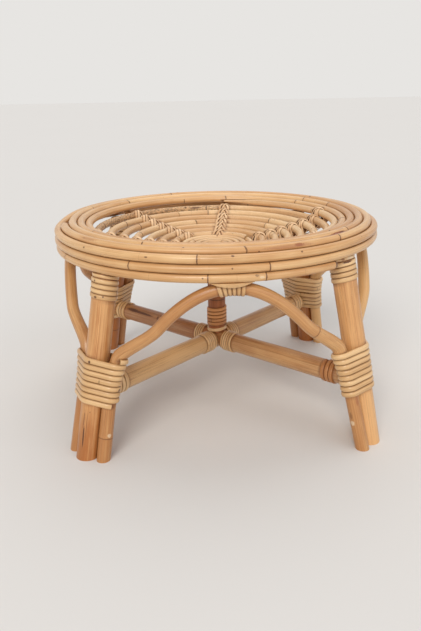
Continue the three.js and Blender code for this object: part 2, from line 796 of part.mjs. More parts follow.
function addLegTopWrap(leg) {
  const { foot, axis, inward } = legFrame(leg);
  const reach = legRadius + stripThickness;
  const topEdge = legTopHeight(leg) / axis.z - reach * legLeanShare - seatGap;
  const start = topEdge - stripWidth / 2 - stripPitch * legTopTurns;
  wrapPole(leg.name + "_leg_top_wrap", {
    pole: straightPole(foot, axis),
    reference: inward,
    radius: legRadius,
    start: start - stripThickness,
    turns: legTopTurns,
    hand: leg.hand,
  });
}

function addStretcherWraps(leg) {
  const inward = outwardAt(leg.azimuth + 180);
  const end = legAxisPoint(leg, stretcherHeight);
  const middle = upward.clone().multiplyScalar(stretcherHeight);
  const common = { reference: upward, radius: stretcherRadius, hand: leg.hand };
  const wrapReach = (stretcherRadius + seatGap / 2) / Math.cos(Math.PI / stripSteps) + stripThickness;
  const clear = (lashingReach(leg) + seatGap) / Math.cos(legLean) + wrapReach * legLeanShare;
  wrapPole(leg.name + "_stretcher_end_wrap", {
    ...common,
    pole: straightPole(end, inward),
    start: clear + seatGap + stripWidth / 2,
    turns: stretcherEndTurns,
  });
  wrapPole(leg.name + "_crossing_wrap", {
    ...common,
    pole: straightPole(middle, outwardAt(leg.azimuth)),
    start: wrapReach + seatGap + stripWidth / 2,
    turns: crossingTurns,
  });
}

function addPostWrap() {
  wrapPole("centre_post_wrap", {
    pole: straightPole(new THREE.Vector3(), upward),
    reference: outwardAt(0),
    radius: postRadius,
    start: stretcherHeight + stretcherRadius + postWrapRise,
    turns: postWrapTurns,
  });
}

// The middle line of an arch near its crown, by distance from the crown along the span.
function archPole(arch) {
  const halfSpan = crownPoint(arch, 1).distanceTo(crownPoint(arch, -1)) / 2;
  return (distance) => {
    const share = distance / halfSpan;
    const nearby = archStep / 2;
    const direction = crownPoint(arch, share + nearby).sub(crownPoint(arch, share - nearby)).normalize();
    return { point: crownPoint(arch, share), direction };
  };
}

function addApexWrap(arch) {
  wrapPole(arch.name + "_arch_apex_wrap", {
    pole: archPole(arch),
    reference: upward,
    radius: archCrownRadius,
    start: (-apexPitch * apexTurns) / 2,
    turns: apexTurns,
    pitch: apexPitch,
  });
}

addOuterRim();
addRimFiller();
addCrestHoops();
addDishCanes();
addCentreCoil();
addRibs();
addLegPoles();
addArches();
addSaddles();
addStretchers();
addCentrePost();
for (const leg of legs) {
  addLegLashing(leg);
  addLegTopWrap(leg);
  addStretcherWraps(leg);
}
addPostWrap();
for (const arch of arches) addApexWrap(arch);

export default stool;
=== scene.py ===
# Mudda stool: the looks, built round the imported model.
# Lengths in the dictionaries are in millimetres and angles in degrees, as in the model's source.
import bisect
import math
import random

import bpy
from mathutils import Matrix, Vector, kdtree, noise


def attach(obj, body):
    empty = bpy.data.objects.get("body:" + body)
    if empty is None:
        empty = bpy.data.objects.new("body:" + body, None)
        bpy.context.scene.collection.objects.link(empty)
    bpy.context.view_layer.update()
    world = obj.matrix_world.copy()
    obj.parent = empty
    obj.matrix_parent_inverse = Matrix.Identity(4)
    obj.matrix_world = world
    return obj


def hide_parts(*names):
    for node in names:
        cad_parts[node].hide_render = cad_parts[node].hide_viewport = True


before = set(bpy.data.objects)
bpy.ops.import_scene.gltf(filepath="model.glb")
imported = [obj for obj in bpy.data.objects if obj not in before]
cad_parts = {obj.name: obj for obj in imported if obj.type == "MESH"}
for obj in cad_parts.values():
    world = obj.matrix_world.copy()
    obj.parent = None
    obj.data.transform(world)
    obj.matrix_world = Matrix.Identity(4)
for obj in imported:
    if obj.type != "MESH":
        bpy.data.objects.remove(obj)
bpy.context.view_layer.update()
millimetre = 0.001
tiny = 1e-9
origin, rightward, upward = Vector((0, 0, 0)), Vector((1, 0, 0)), Vector((0, 0, 1))
floorPlane = (origin, upward)
random.seed(7)
print("frame loaded:", len(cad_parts), "nodes")


# Directions and curves

def cosSin(angle):
    return math.cos(math.radians(angle)), math.sin(math.radians(angle))


def outwardAt(azimuth):
    return Vector((*cosSin(azimuth), 0))


def placeAt(azimuth, radius, height):
    return outwardAt(azimuth) * radius + upward * height


def between(low, high, share):
    return low + (high - low) * share


def smoothShare(value, low, high):
    share = min(max((value - low) / (high - low), 0), 1)
    return share * share * (3 - 2 * share)


def shares(count):
    return [number / count for number in range(count + 1)]


def straightRun(start, end, steps):
    return [start.lerp(end, share) for share in shares(steps)]


def bezier(start, startHandle, endHandle, end, count):
    points = []
    for share in shares(count):
        rest = 1 - share
        points.append(start * rest ** 3 + startHandle * (3 * rest ** 2 * share)
                      + endHandle * (3 * rest * share ** 2) + end * share ** 3)
    return points


def addObject(name, data):
    made = bpy.data.objects.new(name, data)
    bpy.context.scene.collection.objects.link(made)
    return made


# Materials

def paint(red, green, blue):
    # a colour as a screen shows it, 0 to 255, made linear
    channels = [value / 255 for value in (red, green, blue)]
    return [value / 12.92 if value <= 0.04045 else ((value + 0.055) / 1.055) ** 2.4 for value in channels] + [1]


class ShaderWriter:
    # short calls for the nodes of a material or of the world

    def __init__(self, owner):
        self.owner = owner
        owner.use_nodes = True
        self.tree = owner.node_tree
        self.tree.nodes.clear()

    def node(self, kind, inputs, **settings):
        made = self.tree.nodes.new(kind)
        for setting, value in settings.items():
            setattr(made, setting, value)
        for socket, value in inputs.items():
            if isinstance(value, bpy.types.NodeSocket):
                self.tree.links.new(value, made.inputs[socket])
            else:
                made.inputs[socket].default_value = value
        return made

    def attribute(self, name, output="Fac"):
        return self.node("ShaderNodeAttribute", {}, attribute_name=name).outputs[output]

    def number(self, operation, one, other=0.0):
        return self.node("ShaderNodeMath", {0: one, 1: other}, operation=operation).outputs[0]

    def sum(self, one, other):
        return self.number("ADD", one, other)

    def times(self, one, other):
        return self.number("MULTIPLY", one, other)

    def arrow(self, operation, inputs, output=0):
        return self.node("ShaderNodeVectorMath", inputs, operation=operation).outputs[output]

    def ramp(self, value, low, high, fromValue=0.0, toValue=1.0):
        inputs = {"Value": value, "From Min": low, "From Max": high, "To Min": fromValue, "To Max": toValue}
        made = self.node("ShaderNodeMapRange", inputs, interpolation_type="SMOOTHSTEP", clamp=True)
        return made.outputs["Result"]

    def stretched(self, vector, along, across):
        return self.arrow("MULTIPLY", {0: vector, 1: (along, across, across)})

    def cloud(self, vector, detail=2.0, roughness=0.55):
        inputs = {"Vector": vector, "Scale": 1.0, "Detail": detail, "Roughness": roughness}
        return self.node("ShaderNodeTexNoise", inputs).outputs["Fac"]

    def cells(self, vector):
        return self.node("ShaderNodeTexVoronoi", {"Vector": vector, "Scale": 1.0}).outputs

    def blend(self, share, one, other):
        made = self.node("ShaderNodeMix", {0: share, 6: one, 7: other}, data_type="RGBA")
        return made.outputs[2]

    def spot(self, straight, mark, ragged):
        # as much as the mark's depth inside a long or round spot of the skin, and 0 outside
        away = self.arrow("SUBTRACT", {0: straight, 1: mark["middle"]})
        far = self.arrow("LENGTH", {0: self.stretched(away, 1 / mark["long"], 1 / mark["wide"])}, "Value")
        uneven = self.sum(far, self.times(ragged, skin["markRagged"]))
        return self.ramp(uneven, *skin["markRamp"], mark["depth"], 0.0)

    def finish(self, colour, roughness, height, depth, coat, coatRoughness):
        bumps = {"Height": height, "Strength": skin["bump"], "Distance": depth * millimetre}
        bump = self.node("ShaderNodeBump", bumps)
        inputs = {"Base Color": colour, "Roughness": roughness, "Normal": bump.outputs[0], "Coat Weight": coat,
                  "Coat Roughness": coatRoughness, "Specular IOR Level": skin["specular"]}
        shader = self.node("ShaderNodeBsdfPrincipled", inputs)
        self.node("ShaderNodeOutputMaterial", {"Surface": shader.outputs[0]})
        return self.owner


# patterns of the skin: how often they change along and round the cane, their detail and roughness, the values
# between which they come in, and how strongly they count
skin = {
    "fine": (0.018, 1.7, 3, 0.6), "broad": (0.007, 0.42), "patch": (0.035, 0.11, 3), "hair": (0.011, 2.9, 1),
    "edge": (0.9, 0.5), "mottle": (0.32, 0.75, 4, 0.7), "speck": (0.055, 0.16), "toneSpread": 0.45,
    "hairRamp": (0.60, 0.72), "speckShare": 0.80, "speckRamp": (0.035, 0.075), "ringRagged": 1.3,
    "ringRamp": (0.3, 0.95), "bandRamp": (0.5, 5.5), "band": 0.34, "mottleRamp": (0.42, 0.62), "dirt": 0.85,
    "roughRamp": (0.3, 0.7), "smoother": -0.06, "rougher": 0.08, "roughDirt": 0.18, "markRagged": 0.7,
    "markRamp": (0.95, 1.4), "bump": 0.6, "specular": 0.45,
    "relief": {"fine": 0.6, "hair": -0.6, "speck": -0.3, "crack": -0.8},
}


def caneFinish(name, look, marks):
    # straight is the place on the cane if it were pulled straight, and joint the distance to its nearest ring
    writer = ShaderWriter(bpy.data.materials.new(name))
    straight = writer.attribute("straight", "Vector")
    joint, crevice, tone, stain = [writer.attribute(label) for label in ("jointGap", "crevice", "tone", "stain")]

    def pattern(label):
        along, across, *settings = skin[label]
        return writer.cloud(writer.stretched(straight, along, across), *settings)

    fine = pattern("fine")
    mixed = writer.times(fine, look["grain"])
    for value, share in ((pattern("broad"), "streaks"), (pattern("patch"), "patches"), (tone, "tones")):
        mixed = writer.sum(mixed, writer.times(value, look[share]))
    middle = (look["grain"] + look["streaks"] + look["patches"]) / 2
    share = writer.ramp(mixed, middle - skin["toneSpread"], middle + skin["toneSpread"])
    colour = writer.blend(share, look["light"], look["deep"])

    hairs = writer.times(writer.ramp(pattern("hair"), *skin["hairRamp"]), look["hairs"])
    colour = writer.blend(hairs, colour, look["dark"])

    cells = writer.cells(writer.stretched(straight, *skin["speck"]))
    kind = writer.node("ShaderNodeSeparateColor", {0: cells["Color"]}).outputs[0]
    picked = writer.number("GREATER_THAN", kind, skin["speckShare"])
    speck = writer.times(writer.ramp(cells["Distance"], *skin["speckRamp"], 1.0, 0.0), picked)
    colour = writer.blend(writer.times(speck, look["specks"]), colour, look["dark"])

    ragged = pattern("edge")
    shifted = writer.times(writer.sum(ragged, -0.5), skin["ringRagged"])
    gap = writer.number("ABSOLUTE", writer.sum(joint, shifted))
    ring = writer.ramp(gap, *skin["ringRamp"], look["rings"], 0.0)
    band = writer.ramp(gap, *skin["bandRamp"], skin["band"] * look["rings"], 0.0)
    colour = writer.blend(band, colour, look["deep"])
    colour = writer.blend(ring, colour, look["dark"])

    mottle = writer.ramp(pattern("mottle"), *skin["mottleRamp"])
    dirty = writer.times(writer.times(mottle, stain), skin["dirt"])
    colour = writer.blend(dirty, colour, look["dirt"])
    # painted shade and dirt in the grooves where another cane lies close, in the gap colour
    colour = writer.blend(writer.times(crevice, look["crevices"]), colour, look["gap"])

    cracks = 0.0
    for mark in marks:
        spot = writer.spot(straight, mark, ragged)
        colour = writer.blend(spot, colour, look[mark["colour"]])
        if mark["colour"] == "dark":
            cracks = writer.sum(cracks, spot)

    grainy = writer.ramp(fine, *skin["roughRamp"], look["rough"] + skin["smoother"], look["rough"] + skin["rougher"])
    rough = writer.sum(grainy, writer.times(writer.sum(dirty, crevice), skin["roughDirt"]))
    relief = skin["relief"]
    height = writer.sum(writer.times(fine, relief["fine"]), writer.times(writer.sum(hairs, ring), relief["hair"]))
    height = writer.sum(height, writer.sum(writer.times(speck, relief["speck"]), writer.times(cracks, relief["crack"])))
    return writer.finish(colour, rough, height, look["relief"], look["coat"], look["coatRough"])


pith = {"pores": (0.4, 1.5), "poreRamp": (0.12, 0.32), "poreDepth": 0.7, "cloudy": (0.3, 0.35), "rough": 0.75,
        "relief": 0.25}


def cutFinish(name, look):
    # a sawn end: pale pith with pores
    writer = ShaderWriter(bpy.data.materials.new(name))
    straight = writer.attribute("straight", "Vector")
    pores = writer.cells(writer.stretched(straight, *pith["pores"]))
    dots = writer.ramp(pores["Distance"], *pith["poreRamp"], 1.0, 0.0)
    cloudy = writer.cloud(writer.stretched(straight, *pith["cloudy"]), 3.0)
    colour = writer.blend(cloudy, look["light"], look["deep"])
    colour = writer.blend(writer.times(dots, pith["poreDepth"]), colour, look["dark"])
    return writer.finish(colour, pith["rough"], writer.times(dots, -1.0), pith["relief"], 0.0, look["coatRough"])


def finishLook(light, deep, **changes):
    look = {
        # gap is the colour of the painted shade and dirt in the grooves between canes
        "light": paint(*light), "deep": paint(*deep), "dark": paint(92, 50, 20), "gap": paint(116, 64, 26),
        "dirt": paint(112, 86, 62), "scuff": paint(238, 214, 178), "red": paint(150, 84, 46),
        "grain": 0.55, "streaks": 0.75, "patches": 0.5, "tones": 0.35, "hairs": 0.35, "specks": 0.85, "rings": 0.9,
        "crevices": 0.8, "rough": 0.36, "relief": 0.16, "coat": 0.25, "coatRough": 0.22,
    }
    look.update(changes)
    return look


finishes = {
    "rimCane": finishLook((232, 191, 138), (200, 147, 92), patches=0.65),
    "dishCane": finishLook((238, 202, 154), (206, 158, 108), rough=0.42, coat=0.15),
    "ribCane": finishLook((206, 160, 108), (158, 110, 66), rough=0.45, coat=0.1),
    "legCane": finishLook((226, 174, 116), (170, 102, 46), hairs=0.5, grain=0.7, streaks=0.6, rings=0.7),
    "archCane": finishLook((222, 174, 116), (180, 122, 70), hairs=0.45, rings=0.6),
    "stretcherCane": finishLook((214, 172, 120), (166, 108, 62), hairs=0.6, rings=0.6),
    "postCane": finishLook((192, 116, 58), (130, 70, 30), hairs=0.6, rough=0.45, coat=0.1),
    "binding": finishLook((236, 198, 146), (204, 158, 104), rings=0.3, hairs=0.35, rough=0.33, coat=0.35,
                          crevices=0.6),
    "tieStrap": finishLook((244, 208, 164), (212, 168, 122), rings=0.3, hairs=0.3, rough=0.42, coat=0.15,
                           crevices=0.6),
    "oldBinding": finishLook((214, 150, 90), (158, 100, 54), rings=0.4, hairs=0.5, rough=0.4, coat=0.2,
                             crevices=0.6),
}
cutEnd = cutFinish("cutEnd", finishLook((214, 178, 124), (172, 128, 80), coatRough=0.3))
print("finishes:", len(finishes) + 1)


# Rods: canes and strips as a path, a section and what is painted on them. Meshes are made at the end.

rods = []
rodSizes = {
    "ringOffsets": [-6, -3.4, -1.9, -1.1, -0.5, 0, 0.5, 1.1, 1.9, 3.4, 6], "endClear": 3.0, "clearParts": 6,
    "leastStep": 0.15, "leastSize": 0.01, "farRing": 60.0, "farGap": 30, "firstRing": (0.2, 0.9), "ringEnd": 8,
    "seedStep": 37.7, "seedStart": 11.3, "seedAlong": 13, "swellLength": 0.03, "ridgePlace": 0.7, "ridgeWidth": 1.5,
    "grooveDepth": 0.55, "grooveWidth": 0.45, "shade": 1.1, "shadeStep": 5.3, "shadeRow": 2.1, "slowShade": 0.7,
    "slowLength": 0.008, "slowRow": 7.7, "capTurns": (18, 36, 52, 66, 78, 87), "sharpAngle": 48, "stripSides": 8,
    "stripEdge": 3.2,
}
# grooves between canes, painted with shade and dirt: how many canes near a spot are looked at, and how close they have
# to lie
grooveSizes = {"near": 9, "far": 9.0, "own": 4, "parallel": 0.8, "carriedOn": 0.6, "beside": 3, "facing": -0.15,
               "closest": 0.2, "farthest": 1.9}
# the ragged edge of a mark eats a part of it, so marks are drawn larger
markSizes = {"long": 1.25, "wide": 1.3, "wider": 0.25, "depth": 0.85}


def roundSection(radius, sides):
    turns = [2 * math.pi * side / sides for side in range(sides)]
    return [(radius * math.cos(turn), radius * math.sin(turn)) for turn in turns]


def stripSection(size):
    # flat beneath and crowned on top, drawn counterclockwise
    half, thickness, crown = size["width"] / 2, size["thickness"], size["crown"]
    top = []
    for share in shares(rodSizes["stripSides"]):
        edge = (1 - abs(1 - 2 * share) ** rodSizes["stripEdge"]) ** 0.5
        top.append((half * (1 - 2 * share), thickness * (1 - crown) + thickness * crown * edge))
    return [(-half, 0.0), (half, 0.0)] + top


def layRod(name, points, ups, section, finish, slot, **options):
    # ups are arrows for the points, or one for all of them
    if isinstance(ups, Vector):
        ups = [ups] * len(points)
    rod = {
        "name": name, "points": points, "ups": ups, "section": section, "finish": finish,
        "slot": slot, "replaces": [], "step": 4.0, "rings": [], "marks": [], "keys": [], "scaleAt": None,
        "startCap": "flat", "endCap": "flat", "startPlane": None, "endPlane": None, "startFit": None, "reach": 0.0,
        "ridge": 0.28, "wobble": 0.012, "shape": None, "press": None, "stainAt": None, "toneAlong": None,
        "toneShift": 0.0, "seamed": False, "seed": rodSizes["seedStep"] * len(rods) + rodSizes["seedStart"],
    }
    rod.update(options)
    rods.append(rod)


def layCane(name, points, half, sides, finish, slot, ups=upward, **options):
    # a round cane that stands for the node of its name
    layRod(name + "_round", points, ups, roundSection(half, sides), finish, slot, replaces=[name], reach=half,
           **options)


def layStrip(name, points, ups, size, finish="binding", **options):
    layRod(name, points, ups, stripSection(size), finish, "binding_skin", step=size["step"], ridge=size["ridge"],
           wobble=0.0, **options)


def pathLengths(points):
    lengths = [0.0]
    for before, after in zip(points, points[1:]):
        lengths.append(lengths[-1] + (after - before).length)
    return lengths


def segmentAt(lengths, distance):
    # the stretch of a path in which a distance lies, and what share of the stretch is passed there
    index = min(max(bisect.bisect_left(lengths, distance), 1), len(lengths) - 1) - 1
    span = max(lengths[index + 1] - lengths[index], tiny)
    return index, min(max((distance - lengths[index]) / span, 0), 1)


def ringsAlong(length, least, most):
    # growth rings at uneven distances
    rings = []
    here = random.uniform(*rodSizes["firstRing"]) * least
    while here < length - rodSizes["ringEnd"]:
        rings.append(here)
        here += random.uniform(least, most)
    return rings


def layStations(rod):
    points, ups = rod["points"], rod["ups"]
    lengths = pathLengths(points)
    total = lengths[-1]
    count = max(2, round(total / rod["step"]))
    distances = [total * share for share in shares(count)]
    extra = [ring + offset for ring in rod["rings"] for offset in rodSizes["ringOffsets"]] + rod["keys"]
    clear = min(rodSizes["endClear"], total / rodSizes["clearParts"])
    distances += [distance for distance in extra if clear < distance < total - clear]
    distances.sort()
    kept = [distances[0]]
    for distance in distances[1:]:
        if distance - kept[-1] > rodSizes["leastStep"]:
            kept.append(distance)
    kept[-1] = total
    stations = []
    for distance in kept:
        index, share = segmentAt(lengths, distance)
        point, reference = [run[index].lerp(run[index + 1], share) for run in (points, ups)]
        stations.append({"point": point, "reference": reference, "distance": distance, "scale": 1.0})
    for index, station in enumerate(stations):
        before = stations[max(index - 1, 0)]["point"]
        after = stations[min(index + 1, len(stations) - 1)]["point"]
        along = (after - before).normalized()
        reference = station["reference"]
        station["along"] = along
        station["up"] = (reference - along * reference.dot(along)).normalized()
        station["across"] = station["up"].cross(along)
        if rod["scaleAt"]:
            station["scale"] = rod["scaleAt"](station["distance"])
    rod["total"] = total
    rod["stations"] = stations


def ringGap(rod, distance, seams=()):
    # signed distance to the nearest growth ring, or seam
    nearest = rodSizes["farRing"]
    for ring in rod["rings"] + list(seams):
        if abs(distance - ring) < abs(nearest):
            nearest = distance - ring
    return nearest


def toneAt(rod, distance):
    # each length between two rings has its own tone, with a slow change along it; the shift and the change along a
    # piece add tone, and on the back legs, the back arch and the stretchers' far halves they are painted shade
    passed = sum(1 for ring in rod["rings"] if ring < distance)
    shade = noise.noise(Vector((passed * rodSizes["shadeStep"], rod["seed"], rodSizes["shadeRow"])))
    slow = noise.noise(Vector((distance * rodSizes["slowLength"], rod["seed"], rodSizes["slowRow"])))
    along = rod["toneAlong"](distance) if rod["toneAlong"] else 0
    return shade * rodSizes["shade"] + slow * rodSizes["slowShade"] + rod["toneShift"] + along


def ringVertices(rod, station):
    distance = station["distance"]
    gap = ringGap(rod, distance)
    swell = 1 + rod["wobble"] * noise.noise(Vector((distance * rodSizes["swellLength"], rod["seed"], 0)))
    ridge = math.exp(-((gap - rodSizes["ridgePlace"]) / rodSizes["ridgeWidth"]) ** 2)
    lift = rod["ridge"] * (ridge - rodSizes["grooveDepth"] * math.exp(-(gap / rodSizes["grooveWidth"]) ** 2))
    vertices = []
    for x, y in rod["section"]:
        if rod["shape"]:
            x, y = rod["shape"](distance, x, y)
        size = max(math.hypot(x, y), rodSizes["leastSize"])
        pressed = rod["press"](distance, x / size, y / size) if rod["press"] else 0
        share = (swell + (max(lift, pressed) if pressed else lift) / size) * station["scale"]
        vertices.append((x * share, y * share))
    return vertices


def rodMesh(rod, tree, canes, made):
    # adds a rod's loops of corners to made, with what its finish reads at each corner
    half = max(math.hypot(x, y) for x, y in rod["section"])
    seams = (0, rod["total"]) if rod["seamed"] else ()
    far = rodSizes["farGap"]
    loops = []

    def addLoop(station, corners, places):
        distance = station["distance"]
        loops.append(len(made["verts"]))
        for (x, y), place in zip(corners, places):
            made["verts"].append(tuple(place * millimetre))
            made["straight"] += (distance + rod["seed"] * rodSizes["seedAlong"], x + rod["seed"], y)
            made["jointGap"].append(min(max(ringGap(rod, distance, seams), -far), far))
            made["crevice"].append(grooveShadeAndDirtAt(rod, place, station, tree, canes))
            made["tone"].append(toneAt(rod, distance))
            made["stain"].append(rod["stainAt"](distance) if rod["stainAt"] else 0.0)

    def addCap(station, corners, places, way):
        # a free end rounded over
        for turn in rodSizes["capTurns"][::way]:
            scale, rise = cosSin(turn)
            out = way * half * station["scale"] * rise
            addLoop(station, [(x * scale, y * scale) for x, y in corners],
                    [station["point"] + station["along"] * out + (place - station["point"]) * scale
                     for place in places])

    last = len(rod["stations"]) - 1
    for index, station in enumerate(rod["stations"]):
        corners = ringVertices(rod, station)
        places = [station["point"] + station["across"] * x + station["up"] * y for x, y in corners]
        plane = rod["startPlane"] if index == 0 else rod["endPlane"] if index == last else None
        if plane:
            point, normal = plane
            slope = normal.dot(station["along"])
            places = [place - station["along"] * ((place - point).dot(normal) / slope) for place in places]
        if index == 0 and rod["startFit"]:
            places = [rod["startFit"](place) for place in places]
        if index == 0 and rod["startCap"] == "round":
            addCap(station, corners, places, -1)
        addLoop(station, corners, places)
        if index == last and rod["endCap"] == "round":
            addCap(station, corners, places, 1)
    count = len(rod["section"])
    for start, after in zip(loops, loops[1:]):
        for side in range(count):
            beside = (side + 1) % count
            made["faces"].append((start + side, start + beside, after + beside, after + side))
            made["sawn"].append(0)
    made["faces"] += [tuple(loops[0] + side for side in reversed(range(count))),
                      tuple(loops[-1] + side for side in range(count))]
    made["sawn"] += [int(rod[cap] == "flat") for cap in ("startCap", "endCap")]


def grooveShadeAndDirtAt(rod, place, station, tree, canes):
    # 1 where another cane lies close to this spot of the skin, but not the cane that carries it on: there the finish
    # paints shade and dirt and makes the skin rougher
    least = grooveSizes["far"]
    outside = (place - station["point"]).normalized()
    for found, index, _ in tree.find_n(place, grooveSizes["near"]):
        other, beside = canes[index]
        reach, along = other["reach"] * beside["scale"], beside["along"]
        if other is rod and abs(beside["distance"] - station["distance"]) < grooveSizes["own"] * reach:
            continue
        apart = station["point"] - found
        aside = (apart - along * apart.dot(along)).length
        if abs(along.dot(station["along"])) > grooveSizes["parallel"] and aside < reach * grooveSizes["carriedOn"]:
            continue
        offset = place - found
        side = offset - along * offset.dot(along)
        if (offset.length - side.length > grooveSizes["beside"]
                or side.dot(outside) > grooveSizes["facing"] * side.length):
            continue
        least = min(least, side.length - reach)
    return 1 - smoothShare(least, grooveSizes["closest"], grooveSizes["farthest"])


def markSpot(rod, mark):
    # a mark is given by its distance along the cane, its turn round it, half its length and half its width,
    # and may name a colour and a depth
    distance, turn, long, wide, *kind = mark
    x, y = cosSin(turn)
    corner = max(rod["section"], key=lambda corner: (corner[0] * x + corner[1] * y) / math.hypot(*corner))
    size = math.hypot(*corner)
    middle = (distance + rod["seed"] * rodSizes["seedAlong"], x * size + rod["seed"], y * size)
    return {"middle": middle, "long": long * markSizes["long"], "wide": wide * markSizes["wide"] + markSizes["wider"],
            "colour": kind[0] if kind else "dark", "depth": kind[1] if len(kind) > 1 else markSizes["depth"]}


def makeMaterials():
    made = {}
    for name, look in finishes.items():
        marks = [markSpot(rod, mark) for rod in rods if rod["finish"] == name for mark in rod["marks"]]
        made[name] = caneFinish(name, look, marks)
    return made


def makeMeshes(materials):
    canes = []
    for rod in rods:
        layStations(rod)
        if rod["reach"]:
            canes += [(rod, station) for station in rod["stations"]]
    tree = kdtree.KDTree(len(canes))
    for index, (_, station) in enumerate(canes):
        tree.insert(station["point"], index)
    tree.balance()
    groups = {}
    for rod in rods:
        groups.setdefault(rod["name"], []).append(rod)
    for name, members in groups.items():
        made = {label: [] for label in ("verts", "faces", "sawn", "straight", "jointGap", "crevice", "tone", "stain")}
        for rod in members:
            rodMesh(rod, tree, canes, made)
        mesh = bpy.data.meshes.new(name)
        mesh.from_pydata(made["verts"], [], made["faces"])
        mesh.attributes.new("straight", "FLOAT_VECTOR", "POINT").data.foreach_set("vector", made["straight"])
        for label in ("jointGap", "crevice", "tone", "stain"):
            mesh.attributes.new(label, "FLOAT", "POINT").data.foreach_set("value", made[label])
        mesh.materials.append(materials[members[0]["finish"]])
        mesh.materials.append(cutEnd)
        mesh.polygons.foreach_set("material_index", made["sawn"])
        mesh.polygons.foreach_set("use_smooth", [True] * len(made["faces"]))
        mesh.set_sharp_from_angle(angle=math.radians(rodSizes["sharpAngle"]))
        mesh.update()
        piece = addObject(name, mesh)
        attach(piece, "root")
        replaced = [node for rod in members for node in rod["replaces"]]
        if replaced:
            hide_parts(*replaced)


# Rim

rimSizes = {
    "cane": 9.4, "turnGap": 0.45, "seatGap": 0.3, "radius": 194.2, "height": 211.5,
    "levelTurns": [84, 92, 144, 172, 187, 199.5, 200],
    "start": 274, "end": 305, "turns": 3, "drops": [(162, 187), (150, 176), (140, 165)],
    "fillerStart": 190, "scarf": 25, "sides": 20, "azimuthStep": 1.0, "press": 0.2, "pressed": 0.8, "wobble": 0.006,
}
# each cane's growth rings, as azimuths, and its specks, bruises and slanted cuts
rimCanes = {
    "outer_rim_cane": {
        "rings": [308.75, 463, 620, 757, 906, 959, 1001.25, 1150, 1286, 1343, 1360.25],
        "marks": [(14, -172, 0.8, 0.6), (57.7, 150, 5, 1.4, "red", 0.8), (46, 158, 26, 1.6, "red", 0.4),
                  (112, 84, 24, 1.3, "red", 0.9), (1007.9, 157, 1.3, 0.7), (1090, 163, 1.6, 0.6),
                  (1175.9, 129, 1.6, 0.9), (1247.2, 147, 1.2, 0.8), (2401, 165, 0.9, 0.6), (3597.6, 165, 0.8, 0.6),
                  (3656, 176, 2.5, 0.9, "scuff", 0.6), (3651, 150, 2, 1, "dark", 0.5)]},
    "rim_filler_cane": {"rings": [], "marks": [(213.9, 108, 0.9, 0.6), (96, 140, 12, 1.2, "red", 0.35)]},
    "outer_crest_hoop": {
        "seam": 108, "rings": [157, 319.5],
        "marks": [(887, 70, 1.6, 1.1), (640, 100, 8, 1.4, "red", 0.35), (410.4, 136, 0.7, 2.2, "dark", 0.9),
                  (631, 156, 11, 1.1, "red", 0.95), (639, 160, 5, 0.8, "dark", 0.7)]},
    "middle_crest_hoop": {"seam": 134.5, "rings": [212, 18, 35.6], "marks": [(520, 120, 1, 0.7)]},
    "inner_crest_hoop": {"seam": 80, "rings": [236.5, 345, 38], "marks": [(62.9, -10, 0.7, 3.2)]},
}
rimHalf = rimSizes["cane"] / 2
gapSeat = rimSizes["seatGap"]
rimLevels = [(rimSizes["radius"], rimSizes["height"])]
rimPitch = rimSizes["cane"] + rimSizes["turnGap"]
for levelTurn in rimSizes["levelTurns"]:
    rimLevels.append(tuple(place + rimPitch * way for place, way in zip(rimLevels[-1], cosSin(levelTurn))))
crestMiddle, crestInner, dishEdge = rimLevels[-3:]
outerTop = len(rimSizes["drops"])


def levelPlace(level):
    below = int(math.floor(level))
    above = min(below + 1, len(rimLevels) - 1)
    share = level - below
    return [between(low, high, share) for low, high in zip(rimLevels[below], rimLevels[above])]


def rimPath(start, end, levelAt):
    count = round(abs(end - start) / rimSizes["azimuthStep"])
    azimuths = [between(start, end, share) for share in shares(count)]
    points = []
    for azimuth in azimuths:
        radius, height = levelPlace(levelAt(azimuth))
        points.append(placeAt(azimuth, radius, height))
    return azimuths, points


def scarfPlane(point, azimuth, side):
    normal = outwardAt(azimuth + 90 + rimSizes["scarf"])
    return point + normal * (side * rimSizes["turnGap"] / 2), normal


def rimScarf(level, azimuth, side):
    return scarfPlane(placeAt(azimuth, *rimLevels[level]), azimuth, side)


def outerLevel(azimuth):
    drops = [smoothShare(azimuth - 360 * (turn + 1), low, high)
             for turn, (low, high) in enumerate(rimSizes["drops"])]
    return outerTop - sum(drops)


def layRimCane(name, start, end, levelAt, **options):
    azimuths, points = rimPath(start, end, levelAt)
    lengths = pathLengths(points)
    rings = []
    for ring in rimCanes[name]["rings"]:
        wanted = ring if ring > start else ring + 360
        nearest = min(range(len(azimuths)), key=lambda index: abs(azimuths[index] - wanted))
        rings.append(lengths[nearest])

    def press(distance, x, y):
        # canes of the rim are pressed a little flat where they touch, so that no light shows between them
        level = levelAt(azimuths[min(bisect.bisect_left(lengths, distance), len(azimuths) - 1)])
        here = levelPlace(level)
        most = 0
        for other in (level - 1, level + 1):
            if 0 <= other <= len(rimLevels) - 1:
                there = levelPlace(other)
                way = Vector((here[0] - there[0], there[1] - here[1])).normalized()
                most = max(most, smoothShare(way.x * x + way.y * y, rimSizes["pressed"], 1))
        return rimSizes["press"] * most

    layCane(name, points, rimHalf, rimSizes["sides"], "rimCane", "pale_cane", rings=rings,
            marks=rimCanes[name]["marks"], press=press, wobble=rimSizes["wobble"], seamed=True, **options)


def layRim():
    start = rimSizes["start"]
    layRimCane("outer_rim_cane", start, rimSizes["end"] + 360 * rimSizes["turns"], outerLevel,
               startPlane=rimScarf(outerTop, start, 1), endCap="round")
    layRimCane("rim_filler_cane", rimSizes["fillerStart"], start, lambda azimuth: outerTop, startCap="round",
               endPlane=rimScarf(outerTop, start, -1))
    for level, name in enumerate(("outer_crest_hoop", "middle_crest_hoop", "inner_crest_hoop"), outerTop + 1):
        seam = rimCanes[name]["seam"]
        layRimCane(name, seam, seam + 360, lambda azimuth, level=level: level, startPlane=rimScarf(level, seam, 1),
                   endPlane=rimScarf(level, seam, -1))


# Dish

